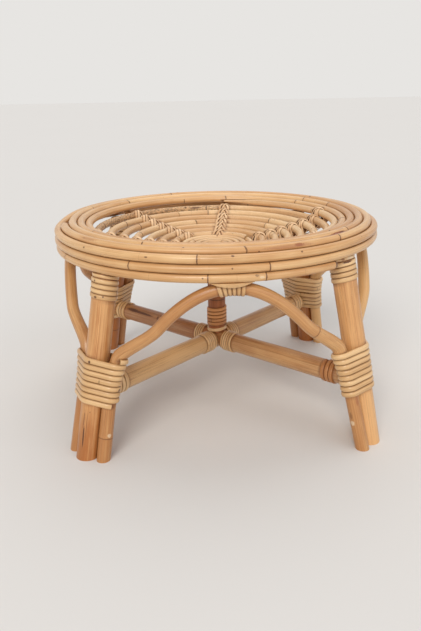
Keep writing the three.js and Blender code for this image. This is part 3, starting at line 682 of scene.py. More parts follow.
dishSizes = {
    "drop": 7, "depth": 22.5, "start": 80, "endRadius": 45.4, "taperAngle": 25, "levelAngle": 120, "fallAngle": 140,
    "taperShare": 0.34, "sides": 16, "angleStep": 1.5, "coilCane": 7.4, "coilInner": 4.2, "coilSides": 14,
    "coilTurnSteps": 60, "coilStep": 2.2, "coilRings": (60, 150), "coilRidge": 0.15, "stain": 0.12, "weather": 0.9,
    "weatherFrom": (225, 255), "weatherTo": (345, 375),
}
# the dish canes in winding order: the angle at which each ends, its growth rings and its specks
dishCanes = {
    "outer_dish_cane": {"end": 689, "rings": [168, 420, 703.6, 905, 1180, 1420, 1620],
                        "marks": [(34.7, 115, 1, 0.8), (873, 137, 1.6, 1.2), (888, 152, 9, 0.9)]},
    "middle_dish_cane": {"end": 1417, "rings": [46.9, 262, 520, 686.3, 901.2, 1130, 1330],
                         "marks": [(430, 120, 1, 0.8)]},
    "inner_dish_cane": {"end": 2579, "rings": [110, 300, 520, 700, 930, 1120, 1330, 1500, 1700],
                        "marks": [(240, 110, 1.2, 0.8)]},
}
coilHalf = dishSizes["coilCane"] / 2
dishRadius = dishEdge[0]
dishSettled = dishSizes["levelAngle"] + dishSizes["fallAngle"]
dishTurned = dishCanes["inner_dish_cane"]["end"]
dishPitch = (dishRadius - dishSizes["endRadius"]) / ((dishTurned - dishSettled) / 360)


def dishHeight(radius):
    return dishEdge[1] - dishSizes["drop"] - dishSizes["depth"] * (1 - (radius / dishRadius) ** 2)


def dishTaper(turned):
    return between(dishSizes["taperShare"], 1, smoothShare(turned, 0, dishSizes["taperAngle"]))


def dishPoint(turned):
    radius = dishRadius - dishPitch * max(turned - dishSettled, 0) / 360
    fall = smoothShare(turned, dishSizes["levelAngle"], dishSettled)
    height = between(dishEdge[1], dishHeight(radius), fall)
    toCrest = Vector((crestInner[0] - dishEdge[0], 0, crestInner[1] - dishEdge[1])).normalized()
    lean = rimHalf * (1 - dishTaper(turned))
    return placeAt(dishSizes["start"] - turned, radius + toCrest.x * lean, height + toCrest.z * lean)


def dishScarf(turned, side):
    return scarfPlane(dishPoint(turned), dishSizes["start"] - turned, side)


def layDish():
    start = 0
    for name, cane in dishCanes.items():
        end = cane["end"]
        turns = [between(start, end, share) for share in shares(round((end - start) / dishSizes["angleStep"]))]
        points = [dishPoint(turned) for turned in turns]
        lengths = pathLengths(points)

        def turnedAt(distance, lengths=lengths, turns=turns):
            index, share = segmentAt(lengths, distance)
            return between(turns[index], turns[index + 1], share)

        def stainAt(distance, turnedAt=turnedAt):
            # the first full turn is weathered at the left and at the back
            turned = turnedAt(distance)
            begun, over = smoothShare(turned, *dishSizes["weatherFrom"]), smoothShare(turned, *dishSizes["weatherTo"])
            return dishSizes["stain"] + dishSizes["weather"] * begun * (1 - over)

        options = {"startPlane": dishScarf(start, -1), "seamed": True} if start else {"startCap": "round"}
        layCane(name, points, rimHalf, dishSizes["sides"], "dishCane", "pale_cane", rings=cane["rings"],
                marks=cane["marks"], endPlane=dishScarf(end, 1), stainAt=stainAt,
                scaleAt=lambda distance, turnedAt=turnedAt: dishTaper(turnedAt(distance)), **options)
        start = end


def layCoil():
    pitch = dishSizes["coilCane"] + rimSizes["turnGap"]
    firstPitch = coilHalf + rimHalf + rimSizes["turnGap"]
    turns = 1 + (dishSizes["endRadius"] - firstPitch - dishSizes["coilInner"]) / pitch
    start = dishSizes["start"] - dishTurned
    points = []
    for share in shares(round(turns * dishSizes["coilTurnSteps"])):
        turned = turns * share
        radius = dishSizes["endRadius"] - firstPitch * min(turned, 1) - pitch * max(turned - 1, 0)
        points.append(placeAt(start - 360 * turned, radius, dishHeight(radius) - rimHalf + coilHalf))
    layCane("centre_coil", points, coilHalf, dishSizes["coilSides"], "dishCane", "pale_cane",
            rings=ringsAlong(pathLengths(points)[-1], *dishSizes["coilRings"]), endCap="round",
            startPlane=scarfPlane(points[0], start, -1), step=dishSizes["coilStep"], ridge=dishSizes["coilRidge"])


# Ribs

ribSizes = {"cane": 8, "azimuths": [16.5, 80, 134.5, 189, 251, 313.5], "hubGap": 0.7, "endSlope": 45, "sides": 14,
            "runSteps": 30, "bendSteps": 12, "ringLength": 150, "rings": (70, 160)}
ribHalf = ribSizes["cane"] / 2


def planePoint(radius, height):
    return Vector((radius, 0, height))


def ribPlace(radius):
    slope = 2 * dishSizes["depth"] * radius / dishRadius ** 2
    normal = planePoint(slope, -1).normalized()
    return planePoint(radius, dishHeight(radius)) + normal * (rimHalf + ribHalf + gapSeat)


ribAngles = [(after - azimuth) % 360 for azimuth, after in
             zip(ribSizes["azimuths"], ribSizes["azimuths"][1:] + ribSizes["azimuths"][:1])]
ribHubRadius = (ribSizes["cane"] + ribSizes["hubGap"]) / 2 / math.sin(math.radians(min(ribAngles)) / 2)


def ribLine():
    run = [ribPlace(between(ribHubRadius, dishRadius, share)) for share in shares(ribSizes["runSteps"])]
    startWay = planePoint(1, 2 * dishSizes["depth"] / dishRadius).normalized()
    endWay = planePoint(*cosSin(ribSizes["endSlope"]))
    bendEnd = planePoint(*crestMiddle) + planePoint(endWay.z, -endWay.x) * (rimHalf + ribHalf + gapSeat)
    handle = (bendEnd - run[-1]).length / 3
    return run[:-1] + bezier(run[-1], run[-1] + startWay * handle, bendEnd - endWay * handle, bendEnd,
                             ribSizes["bendSteps"])


def layRibs():
    line = ribLine()
    for number, azimuth in enumerate(ribSizes["azimuths"], 1):
        layCane("seat_rib_%d" % number, [placeAt(azimuth, point.x, point.z) for point in line], ribHalf,
                ribSizes["sides"], "ribCane", "tan_cane", rings=ringsAlong(ribSizes["ringLength"], *ribSizes["rings"]))


# Straps that tie the dish to the ribs: at each crossing two strands each way, on a slant round both canes

tieSizes = {"width": 3.4, "thickness": 1.1, "crown": 0.6, "strandGap": 0.15, "lift": 0.1, "slant": 38, "loose": 3,
            "steps": 36, "firstAngle": 48, "lastAngle": 6, "step": 1.8, "ridge": 0.0,
            "seeds": {"rib": 203, "angle": 0.7, "way": 17, "strand": 29}}


def crossingLoop(shapes, centre, way, lift):
    # the tight loop round ellipses in the upright plane through way, from its support lines
    # an ellipse is its half width and half height, and how far aside and above its middle lies
    lines = []
    for number in range(tieSizes["steps"]):
        angle = 2 * math.pi * number / tieSizes["steps"]
        side, rise = math.cos(angle), math.sin(angle)
        reach = max(math.hypot(half * side, tall * rise) + aside * side + above * rise
                    for half, tall, aside, above in shapes)
        lines.append((side, rise, reach + lift))
    outline = []
    for (side, rise, reach), (nextSide, nextRise, nextReach) in zip(lines, lines[1:] + lines[:1]):
        turn = side * nextRise - rise * nextSide
        outline.append(centre + way * ((reach * nextRise - nextReach * rise) / turn)
                       + upward * ((side * nextReach - nextSide * reach) / turn))
    return outline


def layTie(name, azimuth, centre, turn, seed):
    radius = math.hypot(centre.x, centre.y)
    below = max(centre.z - ribPlace(radius).z, rimHalf + ribHalf)
    slant = turn * (tieSizes["slant"] + random.uniform(-tieSizes["loose"], tieSizes["loose"]))
    way, across = outwardAt(azimuth + slant), outwardAt(azimuth + slant + 90)
    lean = math.tan(math.radians(slant))
    lift = tieSizes["lift"] + (tieSizes["thickness"] if turn < 0 else 0)
    for strand in (-0.5, 0.5):
        shift = strand * (tieSizes["width"] + tieSizes["strandGap"])
        ring = (rimHalf * math.hypot(1, lean), rimHalf, shift * lean, 0)
        rib = (ribHalf * math.hypot(1, 1 / lean), ribHalf, -shift / lean, -below)
        loop = crossingLoop([ring, rib], centre + across * shift, way, lift)
        lowest = 3 * len(loop) // 4
        loop = loop[lowest:] + loop[:lowest + 1]
        inside = centre + across * shift - upward * (below / 2)
        layStrip(name, loop, [point - inside for point in loop], tieSizes, "tieStrap",
                 seed=seed + strand * tieSizes["seeds"]["strand"], reach=tieSizes["width"] / 2)


def layTies():
    seeds = tieSizes["seeds"]
    for number, azimuth in enumerate(ribSizes["azimuths"]):
        turned = (dishSizes["start"] - azimuth) % 360
        if turned < tieSizes["firstAngle"]:
            turned += 360
        while turned < dishTurned - tieSizes["lastAngle"]:
            for turn in (1, -1):
                layTie("seat_rib_%d_ties" % (number + 1), azimuth, dishPoint(turned), turn,
                       number * seeds["rib"] + turned * seeds["angle"] + turn * seeds["way"])
            turned += 360


# Legs

legSizes = {
    "pole": 26.6, "inset": 12.4, "lean": 0.2218, "bundleGap": 0.5, "archCane": 15.6, "sides": 40, "archSides": 28,
    "steps": 60, "ridge": 0.3, "wobble": 0.02, "footLength": 90,
}
legs = [
    {"name": "front_left", "azimuth": 225, "top": 0, "hand": -1, "turns": [(-4, -14), (12, 11)], "rings": [],
     "tone": -0.3, "footTone": 1.2, "loose": 0.5, "topTone": 0,
     "marks": [(26, -165.8, 12, 0.75, "dark", 0.95), (45, -170, 9, 0.5, "dark", 0.6)],
     "lashingMarks": [(138.2, -155, 1.3, 1.3, "dark", 1), (810.7, -150, 1.2, 1.2, "dark", 1),
                      (634.4, -147, 0.8, 2.2, "dark", 0.5)],
     "topMarks": [(295.9, 80, 1, 0.9), (39.4, 66, 1.6, 1), (31.4, 125, 0.8, 0.7)]},
    {"name": "front_right", "azimuth": 315, "top": 1, "hand": 1, "turns": [(11, -7), (28, 28)], "rings": [],
     "tone": -0.75, "footTone": -0.4, "loose": 0.5, "topTone": -0.5, "marks": [],
     "lashingMarks": [(300, -140, 0.7, 2, "dark", 0.4)],
     "topMarks": [(288, 38, 5, 0.9, "dark", 0.95), (376, 90, 4, 1.6, "scuff", 0.6), (368, 80, 2, 1.2, "red", 0.7),
                  (383, 110, 1.6, 0.9, "red", 0.6)]},
    # the back legs' higher tone darkens them: painted shade, as the light falls off at the back
    {"name": "back_right", "azimuth": 45, "top": 1, "hand": -1, "turns": [(0, 0), (0, 0)], "rings": [143],
     "tone": 0.6, "footTone": 1.5, "loose": 2.4, "topTone": 0, "marks": [], "lashingMarks": [], "topMarks": []},
    {"name": "back_left", "azimuth": 135, "top": 1, "hand": 1, "turns": [(0, 0), (0, 0)], "rings": [38],
     "tone": 0.9, "footTone": 1.5, "loose": 0.8, "topTone": 0, "marks": [], "lashingMarks": [], "topMarks": []},
]
lashSizes = {
    "width": 5.9, "strand": 6.25, "thickness": 2.8, "crown": 0.6, "pitch": 6.45, "turns": 8, "start": 61.5,
    "leastArc": 1, "mostArc": 300, "outsideSteps": 6, "caneSteps": 16, "insideSteps": 6, "firstStep": 11,
    "roundSteps": 12, "step": 2.4, "slackEvery": 0.06, "ringLength": 1000, "rings": (240, 420), "ridge": 0.1,
    "wobble": 0.03,
}
archSizes = {
    "crown": 13.6, "taper": (117, 150), "baseHeight": 63, "riseGap": 2, "inset": 11, "bendShare": 0.58,
    "leaveShare": 0.75, "handleShare": 0.25, "spread": 7, "nearShare": 0.09, "footSteps": 12, "lashedSteps": 14,
    "leavingSteps": 3, "bendSteps": 16, "crownSteps": 48, "footTone": (55, 90), "ridge": 0.3, "wobble": 0.025,
}
legHalf = legSizes["pole"] / 2
archHalf = legSizes["archCane"] / 2
crownHalf = archSizes["crown"] / 2
legLean = math.atan(legSizes["lean"])
bundleDistance = legHalf + archHalf + legSizes["bundleGap"]
lashingTop = lashSizes["start"] + lashSizes["pitch"] * (lashSizes["turns"] + 1) + lashSizes["width"] / 2


def legFrame(leg):
    outward = outwardAt(leg["azimuth"])
    axis = upward * math.cos(legLean) - outward * math.sin(legLean)
    roundWay = outwardAt(leg["azimuth"] + 90)
    footRadius = rimSizes["radius"] - legSizes["inset"] + legSizes["lean"] * rimSizes["height"]
    return {"foot": outward * footRadius, "axis": axis, "round": roundWay, "inward": axis.cross(roundWay).normalized()}


def besideLeg(held, place, rise):
    return held["foot"] + held["round"] * place[0] + held["inward"] * place[1] + held["axis"] * rise


def legAxisPoint(leg, height):
    held = legFrame(leg)
    return held["foot"] + held["axis"] * (height / held["axis"].z)


def lashedShare(rise):
    return max(rise - lashSizes["start"], 0) / (lashingTop - lashSizes["start"])


def canePlace(leg, side, rise):
    foot, top = leg["turns"][side]
    turn = between(foot, top, rise / lashingTop)
    distance = bundleDistance + archSizes["spread"] * lashedShare(rise) ** 3
    return [distance * way for way in cosSin(180 + turn if side == 0 else turn)]


def legTopHeight(leg):
    return rimLevels[leg["top"]][1] - rimHalf - gapSeat


def layLegs():
    for leg in legs:
        held = legFrame(leg)
        top = legTopHeight(leg)
        points = straightRun(held["foot"], legAxisPoint(leg, top), legSizes["steps"])

        def toneAlong(distance, most=leg["footTone"]):
            return most * (1 - smoothShare(distance, 0, legSizes["footLength"]))

        layCane(leg["name"] + "_leg_pole", points, legHalf, legSizes["sides"], "legCane", "tan_cane",
                upward.cross(held["axis"]), startPlane=floorPlane, endPlane=(upward * top, upward),
                rings=leg["rings"], marks=leg["marks"], ridge=legSizes["ridge"], wobble=legSizes["wobble"],
                toneShift=leg["tone"], toneAlong=toneAlong)


# Arches

arches = [
    {"name": "front", "legs": (0, 1), "azimuth": 270, "level": 0, "tone": 0.35, "footTones": (0.2, 1.1),
     "rings": [27, 381.6],
     "marks": [(31, 121, 2.2, 1.9, "scuff", 0.6), (514, 144, 2.8, 2.2, "scuff", 0.65),
               (505, 144, 3.6, 1.3, "dark", 0.45), (489, 65, 5, 1.6, "red", 0.5)]},
    {"name": "right", "legs": (1, 2), "azimuth": 0, "level": 1, "tone": -1.1, "footTones": (0.3, 0.3),
     "rings": [268], "marks": []},
    # the back arch's higher tone darkens it: painted shade, as the light falls off at the back
    {"name": "back", "legs": (2, 3), "azimuth": 90, "level": 1, "tone": 0.6, "footTones": (0.3, 0.3),
     "rings": [180, 402], "marks": []},
    {"name": "left", "legs": (3, 0), "azimuth": 180, "level": 0, "tone": 0.4, "footTones": (0.3, 0.3),
     "rings": [221], "marks": []},
]


def crownPoint(arch, share):
    bases = []
    for side, number in enumerate(arch["legs"]):
        leg = legs[number]
        rise = archSizes["baseHeight"] / math.cos(legLean)
        bases.append(besideLeg(legFrame(leg), canePlace(leg, 1 - side, lashSizes["start"]), rise))
    rise = 1 - share ** 2
    outward = outwardAt(arch["azimuth"])
    point = bases[0].lerp(bases[1], (1 + share) / 2)
    bow = rimSizes["radius"] - archSizes["inset"] - (bases[0].dot(outward) + bases[1].dot(outward)) / 2
    top = rimLevels[arch["level"]][1] - rimHalf - crownHalf - archSizes["riseGap"]
    point += outward * (bow * rise)
    point.z = between(point.z, top, rise)
    return point


def archSide(arch, side):
    leg = legs[arch["legs"][0 if side < 0 else 1]]
    held = legFrame(leg)
    caneSide = 1 if side < 0 else 0
    rises = [between(lashSizes["start"], lashingTop, share) for share in shares(archSizes["lashedSteps"])]
    lashed = [besideLeg(held, canePlace(leg, caneSide, rise), rise) for rise in rises]
    foot = besideLeg(held, canePlace(leg, caneSide, 0), 0)
    upright = (lashed[0] - foot).normalized()
    foot -= upright * (foot.z / upright.z)
    leaving = lashed[-1]
    crown = crownPoint(arch, side * archSizes["bendShare"])
    toCrown = (crown - leaving).normalized()
    lastWay = (leaving - lashed[-1 - archSizes["leavingSteps"]]).normalized()
    leavingWay = lastWay.lerp(toCrown, archSizes["leaveShare"]).normalized()
    crownWay = (crown - crownPoint(arch, side * (archSizes["bendShare"] - archSizes["nearShare"]))).normalized()
    reach = (crown - leaving).length * archSizes["handleShare"]
    straight = straightRun(foot, lashed[0], archSizes["footSteps"])
    bend = bezier(leaving, leaving + leavingWay * reach, crown + crownWay * reach, crown, archSizes["bendSteps"])
    return straight[:-1] + lashed[:-1] + bend


def archPoints(arch):
    most = archSizes["bendShare"]
    crown = [crownPoint(arch, between(-most, most, share)) for share in shares(archSizes["crownSteps"])][1:-1]
    return archSide(arch, -1) + crown + archSide(arch, 1)[::-1]


def layArches():
    for arch in arches:
        points = archPoints(arch)
        lengths = pathLengths(points)

        def scaleAt(distance, lengths=lengths, points=points):
            height = points[min(bisect.bisect_left(lengths, distance), len(points) - 1)].z
            return between(1, crownHalf / archHalf, smoothShare(height, *archSizes["taper"]))

        def toneAlong(distance, total=lengths[-1], tones=arch["footTones"]):
            return sum(tone * (1 - smoothShare(reached, *archSizes["footTone"]))
                       for tone, reached in zip(tones, (distance, total - distance)))

        layCane(arch["name"] + "_arch_cane", points, archHalf, legSizes["archSides"], "archCane", "tan_cane",
                outwardAt(arch["azimuth"]), startPlane=floorPlane, endPlane=floorPlane, rings=arch["rings"],
                marks=arch["marks"], ridge=archSizes["ridge"], wobble=archSizes["wobble"], scaleAt=scaleAt,
                toneShift=arch["tone"], toneAlong=toneAlong)


# Saddles between the arches and the rim

saddleSizes = {"length": 46, "width": 8.6, "depth": 5, "endShare": 0.12, "steps": 30, "step": 1.6,
               "outline": [(-0.12, -0.82), (0.05, -0.97), (0.2, -1), (0.36, -0.72), (0.45, 0), (-0.05, 0), (-0.55, 0)]}


def laySaddles():
    for arch in arches:
        radius, height = rimLevels[arch["level"]]
        height -= rimHalf + gapSeat
        halfAngle = math.degrees(saddleSizes["length"] / 2 / radius)
        points = [placeAt(arch["azimuth"] + (2 * share - 1) * halfAngle, radius, height)
                  for share in shares(saddleSizes["steps"])]
        total = pathLengths(points)[-1]

        def scaleAt(distance, total=total):
            return max(1 - (2 * distance / total - 1) ** 2, saddleSizes["endShare"])

        section = [(-out * saddleSizes["width"], rise * saddleSizes["depth"]) for out, rise in saddleSizes["outline"]]
        name = arch["name"] + "_arch_saddle"
        layRod(name + "_round", points, upward, section[::-1], "rimCane", "pale_cane", replaces=[name],
               scaleAt=scaleAt, step=saddleSizes["step"], wobble=0.0)


# Leg lashings

def tightLoop(circles):
    # the loop drawn tight round circles, each a middle, a radius and the number of steps round it
    def contact(one, other):
        reach = other[0] - one[0]
        return math.atan2(reach.y, reach.x) - math.acos((one[1] - other[1]) / reach.length)

    loop = []
    for index, (middle, radius, steps) in enumerate(circles):
        before, after = circles[index - 1], circles[(index + 1) % len(circles)]
        start = contact(before, (middle, radius))
        arc = math.degrees(contact((middle, radius), after) - start) % 360
        turn = math.radians(max(arc, lashSizes["leastArc"]) if arc < lashSizes["mostArc"] else lashSizes["leastArc"])
        for share in shares(steps):
            angle = start + turn * share
            loop.append(middle + Vector((math.cos(angle), math.sin(angle))) * radius)
    return loop


def lashingLoop(leg, rise):
    clear = gapSeat + lashSizes["thickness"] / 2
    upperEdge = rise + lashSizes["width"] / 2
    slope = 3 * archSizes["spread"] * lashedShare(upperEdge) ** 2 / (lashingTop - lashSizes["start"])
    reach = archHalf * math.hypot(1, slope) + clear
    left, right = [(Vector(canePlace(leg, side, upperEdge)), reach, lashSizes["caneSteps"]) for side in (0, 1)]
    outside, inside = [(Vector((0, 0)), legHalf + clear, lashSizes[steps]) for steps in ("outsideSteps", "insideSteps")]
    return tightLoop([outside, right, inside, left])


def lashingReach(leg):
    loop = lashingLoop(leg, stretcherSizes["height"] / math.cos(legLean))
    deepest = 0
    for x in (-stretcherHalf, 0, stretcherHalf):
        for point, after in zip(loop, loop[1:] + loop[:1]):
            if abs(after.x - point.x) > tiny:
                share = (x - point.x) / (after.x - point.x)
                if 0 <= share <= 1:
                    deepest = max(deepest, between(point.y, after.y, share))
    return deepest + lashSizes["thickness"] / 2


def lashingSection():
    # a half-round strand, flat inside; x points into the loop and y along the leg
    half, thick = lashSizes["strand"] / 2, lashSizes["thickness"]
    section = [(thick / 2, -half), (thick / 2, half)]
    for share in shares(lashSizes["roundSteps"])[1:-1]:
        turn = math.pi * share
        section.append((thick / 2 - thick * math.sin(turn) ** lashSizes["crown"], half * math.cos(turn)))
    return section[::-1]


def layLashing(leg):
    held = legFrame(leg)
    loop = lashingLoop(leg, lashSizes["start"])
    count = len(loop)
    lengths = pathLengths(loop + loop[:1])
    first = lashSizes["firstStep"]
    points = []
    for step in range(first, first + count * lashSizes["turns"] + 1):
        wound = step // count + lengths[step % count] / lengths[-1]
        climbed = wound if leg["hand"] > 0 else lashSizes["turns"] + 1 - wound
        slack = leg["loose"] * noise.noise(Vector((step * lashSizes["slackEvery"], leg["azimuth"], 0)))
        slack *= math.sin(math.pi * wound / lashSizes["turns"])
        rise = lashSizes["start"] + lashSizes["pitch"] * climbed + slack
        points.append(besideLeg(held, lashingLoop(leg, rise)[step % count], rise))
    name = leg["name"] + "_leg_lashing"
    layRod(name + "_wound", points, held["axis"], lashingSection(), "binding", "binding_skin", replaces=[name],
           step=lashSizes["step"], rings=ringsAlong(lashSizes["ringLength"], *lashSizes["rings"]),
           ridge=lashSizes["ridge"], wobble=lashSizes["wobble"], reach=lashSizes["width"] / 2,
           marks=leg["lashingMarks"])


# Stretchers and post

stretcherSizes = {
    "pole": 24, "height": 72.6, "sides": 32, "steps": 80, "notchEdge": 0.2, "toneChange": (-40, 20), "ridge": 0.3,
    "wobble": 0.015, "post": 23, "postSteps": 50, "postRings": [44.0], "postStep": 3.0, "postRidge": 0.2,
}
stretcherHalf = stretcherSizes["pole"] / 2
stretcherTop = stretcherSizes["height"] + stretcherHalf
postHalf = stretcherSizes["post"] / 2
stretcherArms = [
    # farShade is painted shade on each stretcher's half towards its back leg
    {"name": "front_left_to_back_right", "legs": (0, 2), "keptSide": 1, "tone": -0.7, "farShade": 0.3, "marks": []},
    {"name": "front_right_to_back_left", "legs": (1, 3), "keptSide": -1, "tone": -0.1, "farShade": 0.8,
     "marks": [(348, 43, 12, 2.2, "dark", 0.95), (332, 40, 18, 1.4, "dark", 0.95), (318, 37, 11, 0.8, "dark", 0.9),
               (296.5, 37, 1.6, 2.2, "dark", 0.8)]},
]


def stretcherInset(leg):
    return lashingReach(leg) + gapSeat


def stretcherEndPlane(leg):
    held = legFrame(leg)
    return held["foot"] + held["inward"] * stretcherInset(leg), held["inward"]


def layStretchers():
    for arm in stretcherArms:
        ends = [legs[number] for number in arm["legs"]]
        start, end = [legAxisPoint(leg, stretcherSizes["height"]) for leg in ends]
        way = (end - start).normalized()
        start += way * (stretcherInset(ends[0]) / math.cos(legLean))
        end -= way * (stretcherInset(ends[1]) / math.cos(legLean))
        points = straightRun(start, end, stretcherSizes["steps"])
        crossing = -start.dot(way)
        notch, edge = stretcherHalf + gapSeat, stretcherSizes["notchEdge"]
        edges = [crossing - notch - edge, crossing - notch, crossing + notch, crossing + notch + edge]

        def shape(distance, x, y, edges=edges, side=arm["keptSide"]):
            # the notch that halves one stretcher into the other; side is 1 where the lower half stays
            if edges[0] + edge / 2 < distance < edges[3] - edge / 2:
                flat = -side * gapSeat / 2
                y = min(y, flat) if side > 0 else max(y, flat)
            return x, y

        # painted shade: the stretcher gets darker past the crossing, towards its back leg
        def toneAlong(distance, most=arm["farShade"], crossing=crossing):
            return most * smoothShare(distance, *[crossing + change for change in stretcherSizes["toneChange"]])

        layCane(arm["name"] + "_stretcher", points, stretcherHalf, stretcherSizes["sides"], "stretcherCane",
                "tan_cane", startPlane=stretcherEndPlane(ends[0]), endPlane=stretcherEndPlane(ends[1]),
                marks=arm["marks"], shape=shape, keys=edges, ridge=stretcherSizes["ridge"],
                wobble=stretcherSizes["wobble"], toneShift=arm["tone"], toneAlong=toneAlong)


def onStretchers(place):
    # the foot of the post is cut to sit over both stretchers
    reach = stretcherHalf + gapSeat
    rises = [math.sqrt(max(reach ** 2 - place.dot(outwardAt(leg["azimuth"] + 90)) ** 2, 0)) for leg in legs[:2]]
    return Vector((place.x, place.y, stretcherSizes["height"] + max(rises)))


def layPost():
    top = ribPlace(ribHubRadius).z - ribHalf - gapSeat
    points = [upward * between(stretcherTop, top, share) for share in shares(stretcherSizes["postSteps"])]
    layCane("centre_post", points, postHalf, stretcherSizes["sides"], "postCane", "dark_pole",
            rightward, rings=stretcherSizes["postRings"], ridge=stretcherSizes["postRidge"],
            step=stretcherSizes["postStep"], startFit=onStretchers)


# Strip windings

stripSizes = {
    "width": 5.1, "thickness": 1.5, "crown": 0.6, "loose": 0.16, "turnSteps": 36, "slackEvery": 0.05, "slackSeed": 3.1,
    "tuckLead": 0.01, "step": 2.0, "rings": (150, 300), "ridge": 0.08, "modelSides": 8,
}
wraps = {
    "legTop": {"width": 5.2, "pitch": 5.6, "turns": 4, "tucked": 0.7, "tuckedShare": 0.66},
    "stretcherEnd": {"width": 5.1, "pitch": 5.6, "turns": 3},
    "crossing": {"width": 3.1, "pitch": 3.4, "turns": 4.6},
    "post": {"width": 4.5, "pitch": 4.8, "turns": 5.3, "rise": 7.9, "tone": -0.7},
    "apex": {"width": 4.4, "pitch": 4.65, "turns": 6, "tone": 1.0},
    "postFoot": {"width": 4.2, "thickness": 1.3, "crown": 0.5, "rise": 2.6, "tilt": 1.4, "steps": 60, "tone": -1.2,
                 "step": 2.0, "ridge": 0.0},
}


def wrapPole(name, poleAt, reference, radius, start, wrap, hand=1, finish="binding", marks=(), highest=None,
             tone=0):
    # a tucked end is a part turn more, drawn narrow, that stays below a highest place
    turnSteps = stripSizes["turnSteps"]
    full = round(wrap["turns"] * turnSteps)
    steps = full + round(wrap.get("tucked", 0) * turnSteps)

    def tuckAt(share):
        tucked = smoothShare(share, full / steps - stripSizes["tuckLead"], (full + steps) / 2 / steps)
        return between(1, wrap.get("tuckedShare", 1), tucked)

    points, ups = [], []
    for step in range(steps + 1):
        angle = hand * step * 2 * math.pi / turnSteps
        spot = Vector((step * stripSizes["slackEvery"], len(rods) * stripSizes["slackSeed"], 0))
        rise = start + wrap["pitch"] * step / turnSteps + stripSizes["loose"] * noise.noise(spot)
        if highest:
            rise = min(rise, highest(angle) - wrap["width"] / 2 * tuckAt(step / steps))
        point, direction = poleAt(rise)
        ahead = (reference - direction * reference.dot(direction)).normalized()
        aside = direction.cross(ahead)
        out = ahead * math.cos(angle) + aside * math.sin(angle)
        points.append(point + out * (radius + gapSeat / 2))
        ups.append(out)
    total = pathLengths(points)[-1]
    layStrip(name + "_wound", points, ups, {**stripSizes, **wrap}, finish, replaces=[name], marks=marks,
             rings=ringsAlong(total, *stripSizes["rings"]), reach=wrap["width"] / 2,
             toneShift=wrap.get("tone", 0) + tone, scaleAt=lambda distance: tuckAt(distance / total))


def straightPole(start, direction):
    return lambda distance: (start + direction * distance, direction)


def layLegTopWrap(leg):
    held = legFrame(leg)
    wrap = wraps["legTop"]
    reach = legHalf + stripSizes["thickness"]
    topEdge = legTopHeight(leg) / held["axis"].z - reach * legSizes["lean"] - gapSeat
    start = topEdge - wrap["width"] / 2 - wrap["pitch"] * wrap["turns"] - stripSizes["thickness"]

    def highest(angle):
        return topEdge + reach * legSizes["lean"] * (1 + math.cos(angle))

    wrapPole(leg["name"] + "_leg_top_wrap", straightPole(held["foot"], held["axis"]), held["inward"], legHalf,
             start, wrap, leg["hand"], marks=leg["topMarks"], highest=highest, tone=leg["topTone"])


def layStretcherWraps(leg):
    inward = outwardAt(leg["azimuth"] + 180)
    end = legAxisPoint(leg, stretcherSizes["height"])
    middle = upward * stretcherSizes["height"]
    # the winding has straight stretches in the model, and its reach follows from how many make a turn
    reach = (stretcherHalf + gapSeat / 2) / math.cos(math.pi / stripSizes["modelSides"]) + stripSizes["thickness"]
    clear = stretcherInset(leg) / math.cos(legLean) + reach * legSizes["lean"]
    wrapPole(leg["name"] + "_stretcher_end_wrap", straightPole(end, inward), upward, stretcherHalf,
             clear + gapSeat + stripSizes["width"] / 2, wraps["stretcherEnd"], leg["hand"],
             "oldBinding" if leg["name"] == "front_right" else "binding")
    wrapPole(leg["name"] + "_crossing_wrap", straightPole(middle, outwardAt(leg["azimuth"])), upward, stretcherHalf,
             reach + gapSeat + wraps["crossing"]["width"] / 2, wraps["crossing"], leg["hand"])


def layPostWrap():
    wrap, strap = wraps["post"], wraps["postFoot"]
    wrapPole("centre_post_wrap", straightPole(origin, upward), rightward, postHalf, stretcherTop + wrap["rise"], wrap,
             finish="oldBinding")
    height = stretcherTop + gapSeat + strap["rise"]
    ups = [outwardAt(90 + 360 * share) for share in shares(strap["steps"])]
    points = [out * (postHalf + gapSeat / 2) + upward * (height + strap["tilt"] * out.x) for out in ups]
    layStrip("centre_post_foot_strap", points, ups, strap, toneShift=strap["tone"])


def layApexWrap(arch):
    wrap = wraps["apex"]
    halfSpan = (crownPoint(arch, 1) - crownPoint(arch, -1)).length / 2
    near = archSizes["nearShare"] / 2

    def poleAt(distance):
        share = distance / halfSpan
        direction = (crownPoint(arch, share + near) - crownPoint(arch, share - near)).normalized()
        return crownPoint(arch, share), direction

    wrapPole(arch["name"] + "_arch_apex_wrap", poleAt, upward, crownHalf, -wrap["pitch"] * wrap["turns"] / 2, wrap)


for layPart in (layRim, layDish, layCoil, layRibs, layTies, layLegs, layArches, laySaddles, layStretchers, layPost):
    layPart()
for leg in legs:
    layLashing(leg)
    layLegTopWrap(leg)
    layStretcherWraps(leg)
layPostWrap()
for arch in arches:
    layApexWrap(arch)
print("canes laid:", len(rods))
makeMeshes(makeMaterials())
print("meshes made")


# Floor, light and camera

stageSizes = {"floor": 30000, "floorTones": [(225, 223, 220), (227, 225, 222)],
              "backdrop": ((231, 229, 226), 1.0), "softLight": ((252, 252, 255), 0.42)}


def layFloor():
    writer = ShaderWriter(bpy.data.materials.new("paleFloor"))
    place = writer.node("ShaderNodeNewGeometry", {}).outputs["Position"]
    colour = writer.blend(writer.cloud(place), *[paint(*tone) for tone in stageSizes["floorTones"]])
    inputs = {"Base Color": colour, "Roughness": 1.0, "Specular IOR Level": 0.0}
    shader = writer.node("ShaderNodeBsdfPrincipled", inputs)
    writer.node("ShaderNodeOutputMaterial", {"Surface": shader.outputs[0]})
    half = stageSizes["floor"] * millimetre
    corners = [(-half, -half, 0), (half, -half, 0), (half, half, 0), (-half, half, 0)]
    mesh = bpy.data.meshes.new("floor")
    mesh.from_pydata(corners, [], [(0, 1, 2, 3)])
    mesh.materials.append(writer.owner)
    floor = addObject("floor", mesh)


